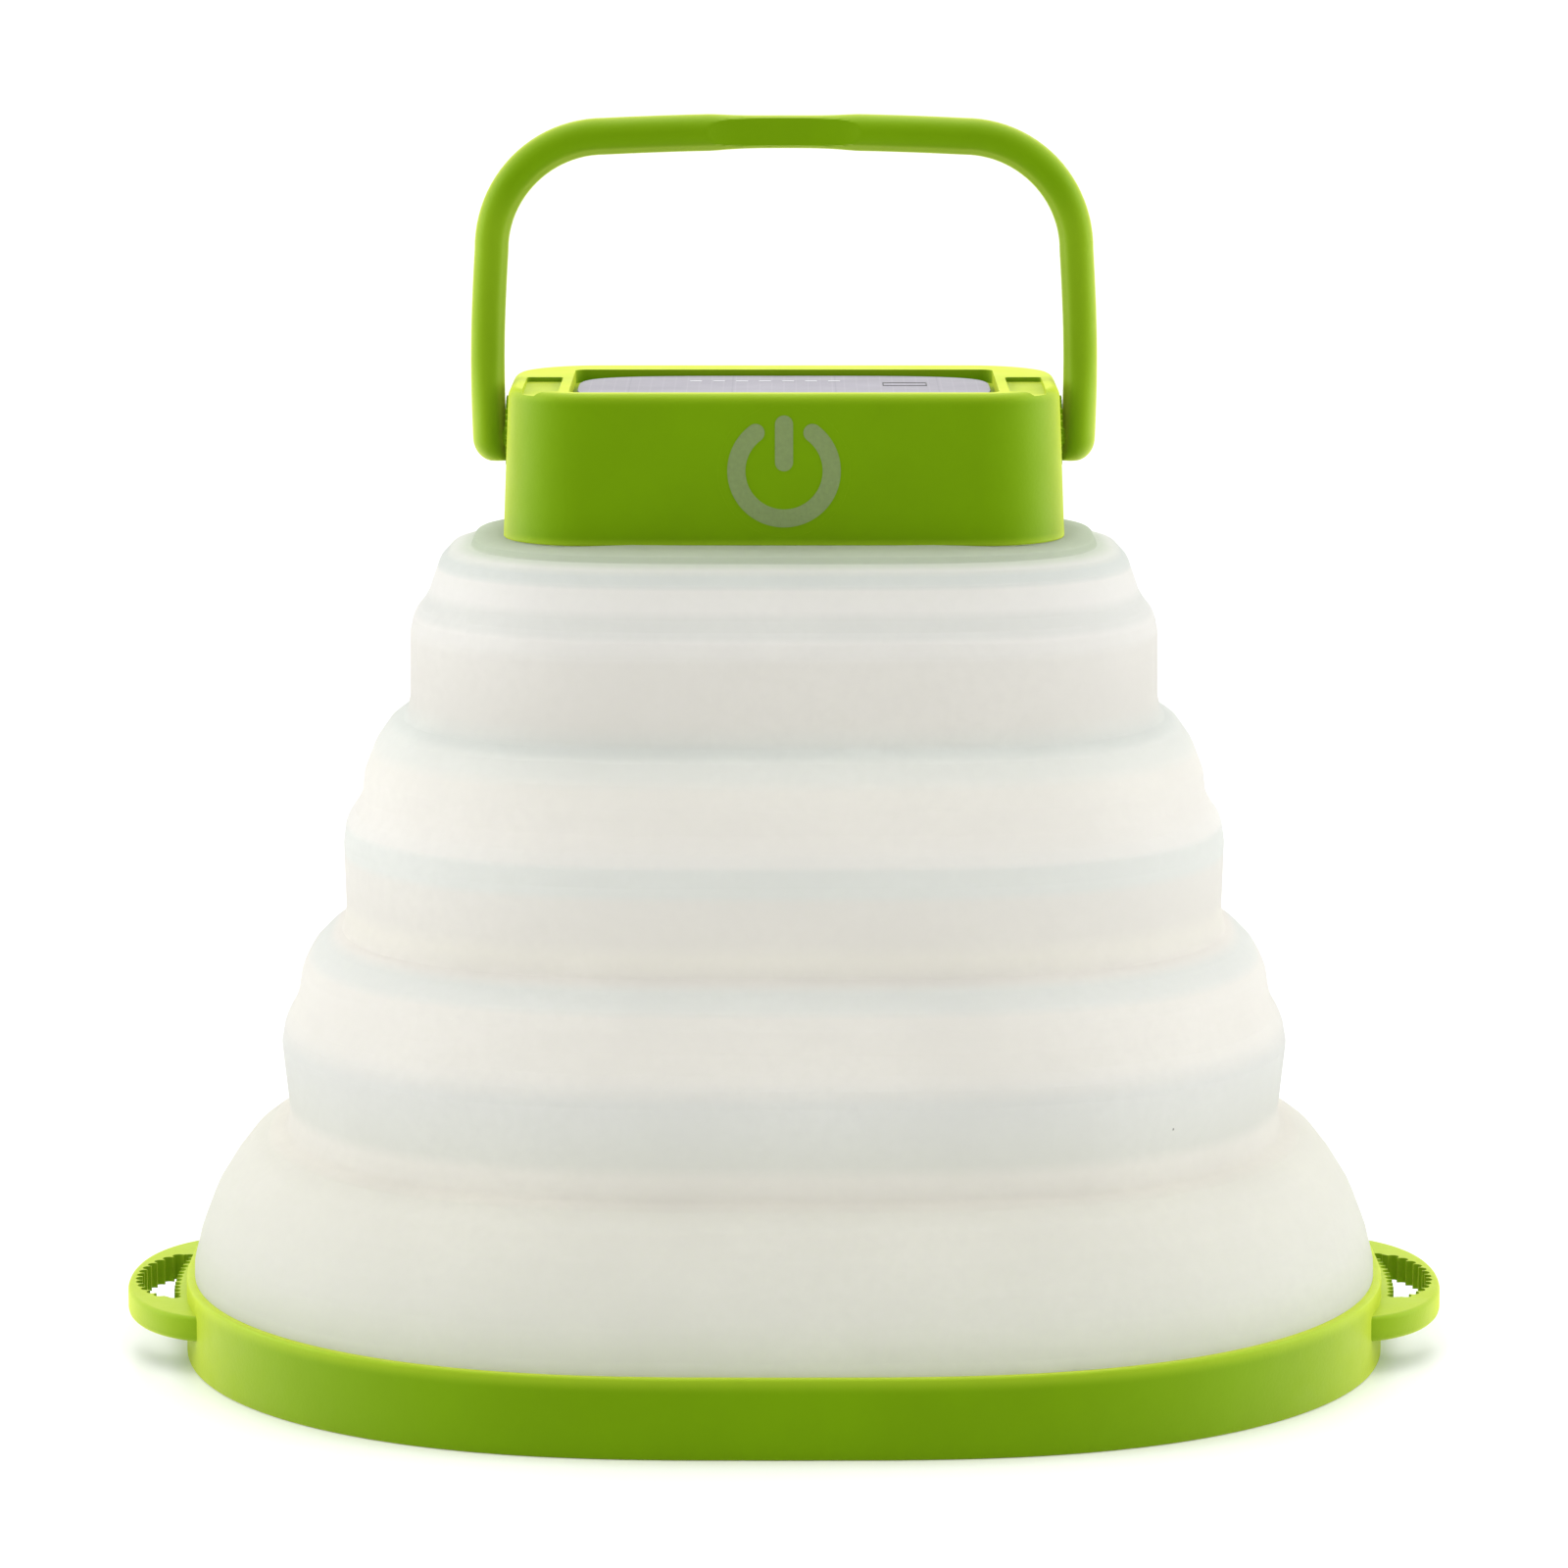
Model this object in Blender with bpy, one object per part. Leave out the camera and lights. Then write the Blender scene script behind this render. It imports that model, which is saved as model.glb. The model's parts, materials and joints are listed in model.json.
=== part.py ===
"""Collapsible camping lantern: a cap with a bail handle, a stepped silicone bellows and a base ring.

Metres, +Z up. The origin is the centre of the underside, and the front, with the power key, faces -Y.
Every level of the lantern has the same plan outline, set out by its half width along X.
"""

import math

import bmesh
import bpy
from mathutils import Matrix, Vector

# ---------------------------------------------------------------- driving dimensions, metres
CORE_X = 0.024          # half width of the superellipse that every plan outline is offset from
CORE_Y = 0.0117         # its half depth
CORE_POWER = 4.0        # its exponent: 2 is an ellipse, larger is squarer
PLAN_STEPS = 44         # facets round a plan outline
GAP = 0.0003            # clearance between neighbouring pieces

RING_TOP = 0.0079
RING_HALF = 0.0604      # base ring, half width at its widest
RING_FOOT_INNER = 0.0572
RING_WALL_INNER = 0.0594
LUG_NOSE = 0.0670       # how far a hanging loop reaches along X
LUG_LOW = 0.0029
LUG_HIGH = 0.0057

WALL = 0.0016           # silicone wall thickness
WEB = 0.0013            # silicone web thickness
LOWER_WALL = [(0.0504, 0.0318), (0.0499, 0.0264), (0.0496, 0.0233)]
MIDDLE_WALL = [(0.0441, 0.0524), (0.0438, 0.0440)]
UPPER_WALL = [(0.0372, 0.0729), (0.0372, 0.0656)]

CAP_HALF_X = 0.0277
CAP_HALF_Y = 0.0147
CAP_LOW = 0.0826
CAP_HIGH = 0.0975
CAP_CORNER = 0.0085     # radius of the cap's upright corners
CAP_WALL = 0.0016
CAVITY_TOP = 0.0953

PANEL_HALF_X = 0.0204
PANEL_FRONT = -0.0127   # the panel sits nearer the front than the back
PANEL_BACK = 0.0090
PANEL_LOW = 0.0964
PANEL_HIGH = 0.0969
POCKET_HALF_X = 0.0210
RECESS_X = 0.0238       # centre of the shallow recess at each end of the top
RECESS_FRONT = -0.0122
RECESS_BACK = 0.0016

KEY_HEIGHT = 0.0900     # centre of the power key
KEY_RADIUS = 0.00645

PIVOT_HEIGHT = 0.0918
HANDLE_HALF = 0.02950   # handle centreline, half width
HANDLE_TOP = 0.12205    # centreline of the top bar
HANDLE_CORNER = 0.0111
ARM_RADIUS = 0.0015
BAR_RADIUS = 0.00175

CHASSIS_SCREW_X = 0.0219
CHASSIS_SCREW_Y = 0.0092

PORT_X = 0.0140         # centre of the charging port, on the back
PORT_HALF = 0.0051
PORT_LOW = 0.0852
PORT_HIGH = 0.0902

# ---------------------------------------------------------------- scene and materials
for old in list(bpy.data.objects):
    bpy.data.objects.remove(old, do_unlink=True)


def new_collection(name):
    """Make a collection of this name in the scene."""
    collection = bpy.data.collections.new(name)
    bpy.context.scene.collection.children.link(collection)
    return collection


PARTS = new_collection("camping_lantern")
CUTTERS = new_collection("cutters")


def make_material(name, colour, roughness, metallic=0.0, alpha=1.0):
    """Make a plain Principled material."""
    material = bpy.data.materials.new(name)
    material.use_nodes = True
    shader = material.node_tree.nodes["Principled BSDF"]
    shader.inputs["Base Color"].default_value = (*colour, 1.0)
    shader.inputs["Roughness"].default_value = roughness
    shader.inputs["Metallic"].default_value = metallic
    shader.inputs["Alpha"].default_value = alpha
    material.diffuse_color = (*colour, alpha)
    return material


GREEN = make_material("lime_plastic", (0.22, 0.48, 0.01), 0.45)
KEY_GREEN = make_material("key_rubber", (0.20, 0.44, 0.02), 0.55)
SILICONE = make_material("frosted_silicone", (0.82, 0.81, 0.76), 0.60, alpha=0.9)
CELL_GREY = make_material("solar_laminate", (0.55, 0.53, 0.60), 0.30)
WHITE = make_material("white_plastic", (0.80, 0.80, 0.78), 0.50)
BOARD = make_material("circuit_board", (0.02, 0.20, 0.07), 0.55)
LED_WHITE = make_material("led_package", (0.85, 0.80, 0.45), 0.40)
CLEAR = make_material("clear_window", (0.90, 0.92, 0.92), 0.20, alpha=0.4)
BATTERY = make_material("battery_foil", (0.45, 0.46, 0.50), 0.40, metallic=0.4)
STEEL = make_material("steel", (0.55, 0.55, 0.56), 0.30, metallic=1.0)
DARK = make_material("dark_plastic", (0.03, 0.03, 0.03), 0.50)


# ---------------------------------------------------------------- shape helpers
def add_object(name, mesh_builder, material, collection=PARTS, location=(0.0, 0.0, 0.0)):
    """Turn a finished bmesh into a named object at a location."""
    bmesh.ops.recalc_face_normals(mesh_builder, faces=mesh_builder.faces)
    mesh = bpy.data.meshes.new(name)
    mesh_builder.to_mesh(mesh)
    mesh_builder.free()
    mesh.materials.append(material)
    mesh.shade_smooth()
    mesh.set_sharp_from_angle(angle=math.radians(35))
    item = bpy.data.objects.new(name, mesh)
    item.location = location
    collection.objects.link(item)
    if collection is CUTTERS:
        item.hide_render = True
        item.display_type = "WIRE"
    return item


def plan_point(half_width, angle):
    """Return the outline's x and y where its outward normal points along angle."""
    cos_a = math.cos(angle)
    sin_a = math.sin(angle)
    power = CORE_POWER / (CORE_POWER - 1.0)
    pull_x = abs(CORE_X * cos_a)
    pull_y = abs(CORE_Y * sin_a)
    size = (pull_x ** power + pull_y ** power) ** (1.0 / CORE_POWER)
    core_x = math.copysign(CORE_X * pull_x ** (power - 1.0) / size, cos_a)
    core_y = math.copysign(CORE_Y * pull_y ** (power - 1.0) / size, sin_a)
    reach = half_width - CORE_X
    return core_x + reach * cos_a, core_y + reach * sin_a


def warp_to_plan(mesh_builder):
    """Move every point from its circle about Z to the plan outline of the same half width."""
    for vertex in mesh_builder.verts:
        radius = math.hypot(vertex.co.x, vertex.co.y)
        angle = math.atan2(vertex.co.y, vertex.co.x)
        vertex.co.x, vertex.co.y = plan_point(radius, angle)


def plan_ring(name, profile, material, collection=PARTS):
    """Sweep a closed profile of (half width, height) points round the plan outline."""
    builder = bmesh.new()
    corners = [builder.verts.new((half_width, 0.0, height)) for half_width, height in profile]
    edges = [builder.edges.new((corners[i - 1], corners[i])) for i in range(len(corners))]
    bmesh.ops.spin(
        builder, geom=corners + edges, axis=(0, 0, 1), cent=(0, 0, 0),
        angle=math.tau, steps=PLAN_STEPS, use_merge=True,
    )
    warp_to_plan(builder)
    return add_object(name, builder, material, collection)


def plan_plate(name, half_width, low, high, material, collection=PARTS):
    """Make a flat plate with the plan outline."""
    builder = bmesh.new()
    bmesh.ops.create_cone(
        builder, cap_ends=True, segments=PLAN_STEPS, radius1=half_width, radius2=half_width,
        depth=high - low, matrix=Matrix.Translation((0, 0, (low + high) / 2)),
    )
    warp_to_plan(builder)
    return add_object(name, builder, material, collection)


def sleeve(outer, thickness):
    """Close an outer line of (half width, height) points into a wall of this thickness."""
    inner = [(half_width - thickness, height) for half_width, height in reversed(outer)]
    return outer + inner


def rounded_box(name, low, high, radius, material, axis=2, steps=3, collection=PARTS, top_round=0.0):
    """Make a box between two corners, rounding the edges that run along one axis."""
    low = Vector(low)
    high = Vector(high)
    size = high - low
    builder = bmesh.new()
    bmesh.ops.create_cube(builder, size=1.0, matrix=Matrix.Diagonal((*size, 1.0)))
    if radius > 0:
        along = [e for e in builder.edges if abs((e.verts[0].co - e.verts[1].co)[axis]) > size[axis] / 2]
        bmesh.ops.bevel(
            builder, geom=along, offset=radius, segments=steps, profile=0.5, affect="EDGES",
        )
    if top_round > 0:
        rim = [e for e in builder.edges if min(v.co.z for v in e.verts) > size.z / 2 - 1e-6]
        bmesh.ops.bevel(
            builder, geom=rim, offset=top_round, segments=2, profile=0.5, affect="EDGES",
        )
    return add_object(name, builder, material, collection, (low + high) / 2)


def cylinder(name, centre, radius, length, axis, material, collection=PARTS, segments=20):
    """Make a cylinder about a centre, lying along X, Y or Z."""
    turn = {
        "X": Matrix.Rotation(math.pi / 2, 4, "Y"),
        "Y": Matrix.Rotation(math.pi / 2, 4, "X"),
        "Z": Matrix.Identity(4),
    }
    builder = bmesh.new()
    bmesh.ops.create_cone(
        builder, cap_ends=True, segments=segments, radius1=radius, radius2=radius,
        depth=length, matrix=turn[axis],
    )
    return add_object(name, builder, material, collection, centre)


def combine(target, tool, operation="DIFFERENCE"):
    """Add an exact Boolean with a hidden tool to a piece."""
    modifier = target.modifiers.new(tool.name, "BOOLEAN")
    modifier.operation = operation
    modifier.solver = "EXACT"
    modifier.object = tool


def screw_solid(name, x, y, head_low, head_high, tip, head_radius, shank_radius):
    """Make one screw, head down, as a stepped turned solid."""
    profile = [(shank_radius, tip), (shank_radius, head_high), (head_radius, head_high),
               (head_radius, head_low)]
    builder = bmesh.new()
    line = [builder.verts.new((0, 0, tip))]
    line += [builder.verts.new((radius, 0, height)) for radius, height in profile]
    line.append(builder.verts.new((0, 0, head_low)))
    edges = [builder.edges.new((line[i], line[i + 1])) for i in range(len(line) - 1)]
    bmesh.ops.spin(
        builder, geom=line + edges, axis=(0, 0, 1), cent=(0, 0, 0), angle=math.tau,
        steps=12, use_merge=True,
    )
    bmesh.ops.remove_doubles(builder, verts=builder.verts, dist=1e-6)
    return add_object(name, builder, STEEL, location=(x, y, 0.0))


# ---------------------------------------------------------------- base
def hanging_loop(side):
    """Make one hanging loop, ready to be joined to the base ring; side is 1 for +X, -1 for -X."""
    centre = 0.055
    outer_half_x = LUG_NOSE - centre
    outer_half_y = 0.0175
    web = 0.0014
    slot_start = 0.0614
    power = 2.2

    def oval(name, half_x, half_y, low, high, start=None):
        builder = bmesh.new()
        bmesh.ops.create_cone(
            builder, cap_ends=True, segments=32, radius1=1.0, radius2=1.0, depth=high - low,
            matrix=Matrix.Translation((0, 0, (low + high) / 2)),
        )
        for vertex in builder.verts:
            angle = math.atan2(vertex.co.y, vertex.co.x)
            cos_a = math.cos(angle)
            sin_a = math.sin(angle)
            vertex.co.x = centre + math.copysign(half_x * abs(cos_a) ** (2 / power), cos_a)
            vertex.co.y = math.copysign(half_y * abs(sin_a) ** (2 / power), sin_a)
        if start is not None:
            geometry = builder.verts[:] + builder.edges[:] + builder.faces[:]
            cut = bmesh.ops.bisect_plane(
                builder, geom=geometry, plane_co=(start, 0, 0), plane_no=(-1, 0, 0), clear_outer=True,
            )
            rim = [item for item in cut["geom_cut"] if isinstance(item, bmesh.types.BMEdge)]
            bmesh.ops.contextual_create(builder, geom=rim)
        item = add_object(name, builder, GREEN, CUTTERS)
        if side < 0:
            item.rotation_euler.z = math.pi
        return item

    suffix = "right" if side > 0 else "left"
    loop = oval(f"loop_{suffix}", outer_half_x, outer_half_y, LUG_LOW, LUG_HIGH)
    core = plan_plate(f"loop_trim_{suffix}", 0.0599, 0.0, 0.0090, GREEN, CUTTERS)
    slot = oval(
        f"loop_slot_{suffix}", outer_half_x - web, outer_half_y - 3.0 * web, 0.0, 0.0090, slot_start,
    )
    combine(loop, core)
    combine(loop, slot)
    return loop


def build_base():
    """Base ring with its two loops, floor plate, silicone foot, clamp and screws."""
    ring = plan_ring(
        "base_ring",
        [(0.0599, 0.0), (RING_HALF, 0.0006), (RING_HALF - 0.0001, 0.0073), (0.0599, RING_TOP),
         (RING_WALL_INNER, RING_TOP), (RING_WALL_INNER, 0.0022), (RING_FOOT_INNER, 0.0022),
         (RING_FOOT_INNER, 0.0)],
        GREEN,
    )
    for side in (1, -1):
        combine(ring, hanging_loop(side), "UNION")

    screw_line = 0.0555
    angles = [math.radians(30 + 60 * i) for i in range(6)]
    plate = plan_plate("base_plate", RING_FOOT_INNER - GAP, 0.0012, 0.0022, WHITE)
    clamp = plan_ring("foot_clamp", sleeve([(0.0572, 0.0063), (0.0572, 0.0025)], 0.0033), GREEN)
    screws = []
    for i, angle in enumerate(angles):
        x, y = plan_point(screw_line, angle)
        hole = cylinder(f"base_hole_{i}", (x, y, 0.003), 0.0010, 0.010, "Z", STEEL, CUTTERS, 12)
        combine(plate, hole)
        combine(clamp, hole)
        screws.append(
            screw_solid(f"base_screw_{i + 1}", x, y, 0.0002, 0.0009, 0.0055, 0.0016, 0.0007)
        )
    foot = plan_ring(
        "bellows_foot",
        sleeve([(0.0588, 0.0120), (0.0594, 0.0096), (0.0591, 0.0080), (0.0591, 0.0025)], WALL),
        SILICONE,
    )
    return [ring, plate, clamp, foot, *screws]


# ---------------------------------------------------------------- bellows
def build_bellows():
    """Three stiff walls and the four thin webs that fold between them."""
    walls = [
        plan_ring("bellows_wall_lower", sleeve(LOWER_WALL, WALL), SILICONE),
        plan_ring("bellows_wall_middle", sleeve(MIDDLE_WALL, WALL), SILICONE),
        plan_ring("bellows_wall_upper", sleeve(UPPER_WALL, WALL), SILICONE),
    ]
    web_lines = [
        [(0.0496, 0.0230), (0.0537, 0.0208), (0.0557, 0.0183), (0.0576, 0.0152), (0.0587, 0.0123)],
        [(0.0438, 0.0437), (0.0475, 0.0402), (0.0485, 0.0374), (0.0494, 0.0346), (0.0503, 0.0321)],
        [(0.0372, 0.0653), (0.0396, 0.0632), (0.0417, 0.0594), (0.0422, 0.0565), (0.0440, 0.0527)],
        [(0.0339, 0.0803), (0.0348, 0.0784), (0.0353, 0.0768), (0.0371, 0.0732)],
    ]
    webs = [
        plan_ring(f"bellows_web_{i + 1}", sleeve(line, WEB), SILICONE)
        for i, line in enumerate(web_lines)
    ]
    return walls, webs


# ---------------------------------------------------------------- cap
def build_cap_shell():
    """Cap moulding: a rounded box, open below, with its pockets, holes and screw posts."""
    shell = rounded_box(
        "cap_shell", (-CAP_HALF_X, -CAP_HALF_Y, CAP_LOW), (CAP_HALF_X, CAP_HALF_Y, CAP_HIGH),
        CAP_CORNER, GREEN, steps=6, top_round=0.0009,
    )
    inner_x = CAP_HALF_X - CAP_WALL
    inner_y = CAP_HALF_Y - CAP_WALL
    combine(shell, rounded_box(
        "cap_cavity", (-inner_x, -inner_y, CAP_LOW - 0.002), (inner_x, inner_y, CAVITY_TOP),
        CAP_CORNER - CAP_WALL, GREEN, steps=5, collection=CUTTERS,
    ))
    combine(shell, rounded_box(
        "panel_pocket", (-POCKET_HALF_X, PANEL_FRONT - GAP, PANEL_LOW - GAP),
        (POCKET_HALF_X, PANEL_BACK + GAP, CAP_HIGH + 0.002), 0.0011, GREEN, collection=CUTTERS,
    ))
    for side in (1, -1):
        centre = side * RECESS_X
        combine(shell, rounded_box(
            f"end_recess_{side}", (centre - 0.0018, RECESS_FRONT, CAP_HIGH - 0.00045),
            (centre + 0.0018, RECESS_BACK, CAP_HIGH + 0.002), 0.0, GREEN, collection=CUTTERS,
        ))
        combine(shell, cylinder(
            f"pivot_hole_{side}", (side * CAP_HALF_X, 0, PIVOT_HEIGHT), 0.00175, 0.008, "X", GREEN, CUTTERS,
        ))
    combine(shell, cylinder(
        "key_hole", (0, -CAP_HALF_Y, KEY_HEIGHT), KEY_RADIUS + GAP, 0.006, "Y", GREEN, CUTTERS, 32,
    ))
    combine(shell, rounded_box(
        "port_pocket", (PORT_X - PORT_HALF - GAP, CAP_HALF_Y - 0.0009, PORT_LOW - GAP),
        (PORT_X + PORT_HALF + GAP, CAP_HALF_Y + 0.002, PORT_HIGH + GAP), 0.0, GREEN, collection=CUTTERS,
    ))
    combine(shell, rounded_box(
        "port_window", (PORT_X - 0.0048, CAP_HALF_Y - 0.004, 0.0861),
        (PORT_X + 0.0048, CAP_HALF_Y + 0.002, 0.0896), 0.0, GREEN, collection=CUTTERS,
    ))
    for x in (CHASSIS_SCREW_X, -CHASSIS_SCREW_X):
        for y in (CHASSIS_SCREW_Y, -CHASSIS_SCREW_Y):
            post = cylinder("screw_post", (x, y, 0.0904), 0.0022, 0.0110, "Z", GREEN, CUTTERS, 16)
            combine(shell, post, "UNION")
            bore = cylinder("post_bore", (x, y, 0.0875), 0.00115, 0.0080, "Z", GREEN, CUTTERS, 12)
            combine(shell, bore)
    return shell


def build_chassis():
    """Plate that closes the cap, the frame that clamps the collar, and their four screws."""
    plate = rounded_box(
        "chassis_plate", (-0.0257, -0.0127, 0.0830), (0.0257, 0.0127, 0.0846), 0.0065, WHITE, steps=4,
    )
    clamp = plan_plate("collar_clamp", 0.0295, 0.0787, 0.0803, WHITE)
    combine(clamp, rounded_box(
        "clamp_window", (-0.0196, -0.0081, 0.0775), (0.0196, 0.0081, 0.0815), 0.0020, WHITE,
        collection=CUTTERS,
    ))
    screws = []
    for x in (CHASSIS_SCREW_X, -CHASSIS_SCREW_X):
        for y in (CHASSIS_SCREW_Y, -CHASSIS_SCREW_Y):
            post = cylinder("spacer", (x, y, 0.0819), 0.0019, 0.0026, "Z", WHITE, CUTTERS, 16)
            combine(plate, post, "UNION")
            hole = cylinder("chassis_hole", (x, y, 0.0815), 0.0012, 0.0080, "Z", WHITE, CUTTERS, 12)
            combine(plate, hole)
            combine(clamp, hole)
            number = len(screws) + 1
            screws.append(
                screw_solid(f"chassis_screw_{number}", x, y, 0.0776, 0.0784, 0.0895, 0.0019, 0.00085)
            )
    wire_hole = cylinder("wire_hole", (0, 0, 0.0838), 0.0020, 0.0050, "Z", WHITE, CUTTERS, 16)
    combine(plate, wire_hole)
    return [plate, clamp, *screws]


def build_electronics():
    """Boards, cell, switch, port, light-emitting chips and their window."""
    pieces = [
        rounded_box("main_board", (-0.0192, -0.0122, 0.0851), (0.0192, 0.0122, 0.0861), 0.001, BOARD),
        rounded_box("battery_cell", (-0.0190, -0.0065, 0.0864), (0.0070, 0.0115, 0.0919), 0.0015, BATTERY),
        rounded_box("switch_board", (-0.0080, -0.0102, 0.0864), (0.0080, -0.0092, 0.0945), 0.0, BOARD),
        rounded_box("led_board", (-0.0190, -0.0075, 0.0814), (0.0190, 0.0075, 0.0824), 0.001, BOARD),
        rounded_box("led_window", (-0.0192, -0.0077, 0.0789), (0.0192, 0.0077, 0.0799), 0.0018, CLEAR),
    ]
    chip_half = 0.0014
    for number in range(6):
        x = 0.0120 * (number % 3 - 1)
        y = 0.0070 * (number // 3 - 0.5)
        pieces.append(rounded_box(
            f"led_chip_{number + 1}", (x - chip_half, y - chip_half, 0.0803),
            (x + chip_half, y + chip_half, 0.0811), 0.0, LED_WHITE,
        ))

    switch = rounded_box(
        "tactile_switch", (-0.0030, -0.0123, KEY_HEIGHT - 0.003), (0.0030, -0.0105, KEY_HEIGHT + 0.003),
        0.0, DARK,
    )
    plunger = cylinder("plunger", (0, -0.0121, KEY_HEIGHT), 0.0016, 0.0010, "Y", DARK, CUTTERS, 16)
    combine(switch, plunger, "UNION")
    pieces.append(switch)

    socket = rounded_box(
        "usb_socket", (PORT_X - 0.0045, 0.0066, 0.0864), (PORT_X + 0.0045, 0.0135, 0.0893), 0.0008,
        STEEL, axis=1,
    )
    mouth = rounded_box(
        "socket_mouth", (PORT_X - 0.0040, 0.0081, 0.0869), (PORT_X + 0.0040, 0.0160, 0.0888), 0.0,
        STEEL, collection=CUTTERS,
    )
    combine(socket, mouth)
    pieces.append(socket)
    return pieces


def build_power_key():
    """Round key, flush with the cap's front, with a short stem behind it."""
    thickness = 0.0012
    key = cylinder(
        "power_button", (0, -CAP_HALF_Y + thickness / 2, KEY_HEIGHT), KEY_RADIUS, thickness, "Y",
        KEY_GREEN, segments=32,
    )
    stem = cylinder(
        "key_stem", (0, -CAP_HALF_Y + thickness, KEY_HEIGHT), 0.0015, 0.0004, "Y", KEY_GREEN, CUTTERS, 16,
    )
    combine(key, stem, "UNION")
    return key


def build_port_cover():
    """Rubber flap over the charging port; its origin is on its lower, hinged edge."""
    cover = rounded_box(
        "usb_cover", (PORT_X - PORT_HALF, CAP_HALF_Y - 0.0006, PORT_LOW),
        (PORT_X + PORT_HALF, CAP_HALF_Y, PORT_HIGH), 0.0, KEY_GREEN,
    )
    hinge = Vector((PORT_X, CAP_HALF_Y, PORT_LOW))
    cover.data.transform(Matrix.Translation(cover.location - hinge))
    cover.location = hinge
    return cover


# ---------------------------------------------------------------- handle
def handle_path():
    """Return the handle's centreline, from one pivot over the top to the other."""
    corner_x = HANDLE_HALF - HANDLE_CORNER
    corner_z = HANDLE_TOP - HANDLE_CORNER
    arc_steps = 6
    half = [(HANDLE_HALF, PIVOT_HEIGHT, ARM_RADIUS)]
    for i in range(arc_steps + 1):
        angle = math.pi / 2 * i / arc_steps
        radius = ARM_RADIUS + (BAR_RADIUS - ARM_RADIUS) * i / arc_steps
        half.append((
            corner_x + HANDLE_CORNER * math.cos(angle),
            corner_z + HANDLE_CORNER * math.sin(angle),
            radius,
        ))
    return half + [(-x, z, radius) for x, z, radius in reversed(half)]


def build_handle():
    """Bail handle: a bent rod with a round eye and a stub pin at each end."""
    path = handle_path()
    curve = bpy.data.curves.new("handle_path", "CURVE")
    curve.dimensions = "3D"
    curve.bevel_depth = 1.0
    curve.bevel_resolution = 2
    curve.use_fill_caps = True
    spline = curve.splines.new("POLY")
    spline.points.add(len(path) - 1)
    for point, (x, z, radius) in zip(spline.points, path):
        point.co = (x, 0.0, z - PIVOT_HEIGHT, 1.0)
        point.radius = radius
    rod = bpy.data.objects.new("handle_path", curve)
    rod.location = (0.0, 0.0, PIVOT_HEIGHT)
    PARTS.objects.link(rod)
    bpy.context.view_layer.update()
    evaluated = rod.evaluated_get(bpy.context.evaluated_depsgraph_get())
    builder = bmesh.new()
    builder.from_mesh(bpy.data.meshes.new_from_object(evaluated))
    bmesh.ops.remove_doubles(builder, verts=builder.verts, dist=1e-6)
    bpy.data.objects.remove(rod, do_unlink=True)
    handle = add_object("handle", builder, GREEN, location=(0.0, 0.0, PIVOT_HEIGHT))
    for side in (1, -1):
        eye = cylinder(
            f"eye_{side}", (side * HANDLE_HALF, 0, PIVOT_HEIGHT), 0.0025, 2 * ARM_RADIUS, "X", GREEN,
            CUTTERS, 24,
        )
        combine(handle, eye, "UNION")
        stub = cylinder(
            f"stub_{side}", (side * 0.0271, 0, PIVOT_HEIGHT), 0.0014, 0.0034, "X", GREEN, CUTTERS, 16,
        )
        combine(handle, stub, "UNION")
    return handle


# ---------------------------------------------------------------- assembly
def body_empty(name, parent=None):
    """Make the empty that stands for one moving body."""
    empty = bpy.data.objects.new(name, None)
    empty.empty_display_size = 0.01
    empty.parent = parent
    PARTS.objects.link(empty)
    return empty


def main():
    """Build every piece and hang it on its body."""
    base = body_empty("base_body")
    lower = body_empty("lower_band", base)
    middle = body_empty("middle_band", lower)
    upper = body_empty("upper_band", middle)
    cap = body_empty("cap_body", upper)

    walls, webs = build_bellows()
    groups = {base: build_base(), lower: [walls[0]], middle: [walls[1]], upper: [walls[2]]}
    for band, web in zip((lower, middle, upper, cap), webs):
        groups.setdefault(band, []).append(web)
    collar = plan_ring(
        "bellows_collar",
        [(0.0333, 0.0806), (0.0326, 0.0810), (0.0304, 0.0823), (0.0278, 0.0823), (0.0278, 0.0806)],
        SILICONE,
    )
    panel = rounded_box(
        "solar_panel", (-PANEL_HALF_X, PANEL_FRONT, PANEL_LOW),
        (PANEL_HALF_X, PANEL_BACK, PANEL_HIGH), 0.0042, CELL_GREY,
    )
    groups[cap] += [collar, build_cap_shell(), panel, *build_chassis(), *build_electronics()]
    groups[cap] += [build_power_key(), build_port_cover(), build_handle()]
    for body, members in groups.items():
        for member in members:
            member.parent = body


main()
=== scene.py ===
"""Looks of a collapsible camping lantern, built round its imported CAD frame. Metres, +Z up, front at -Y."""

import json
import math

import bmesh
import bpy
from mathutils import Matrix, Vector


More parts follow.
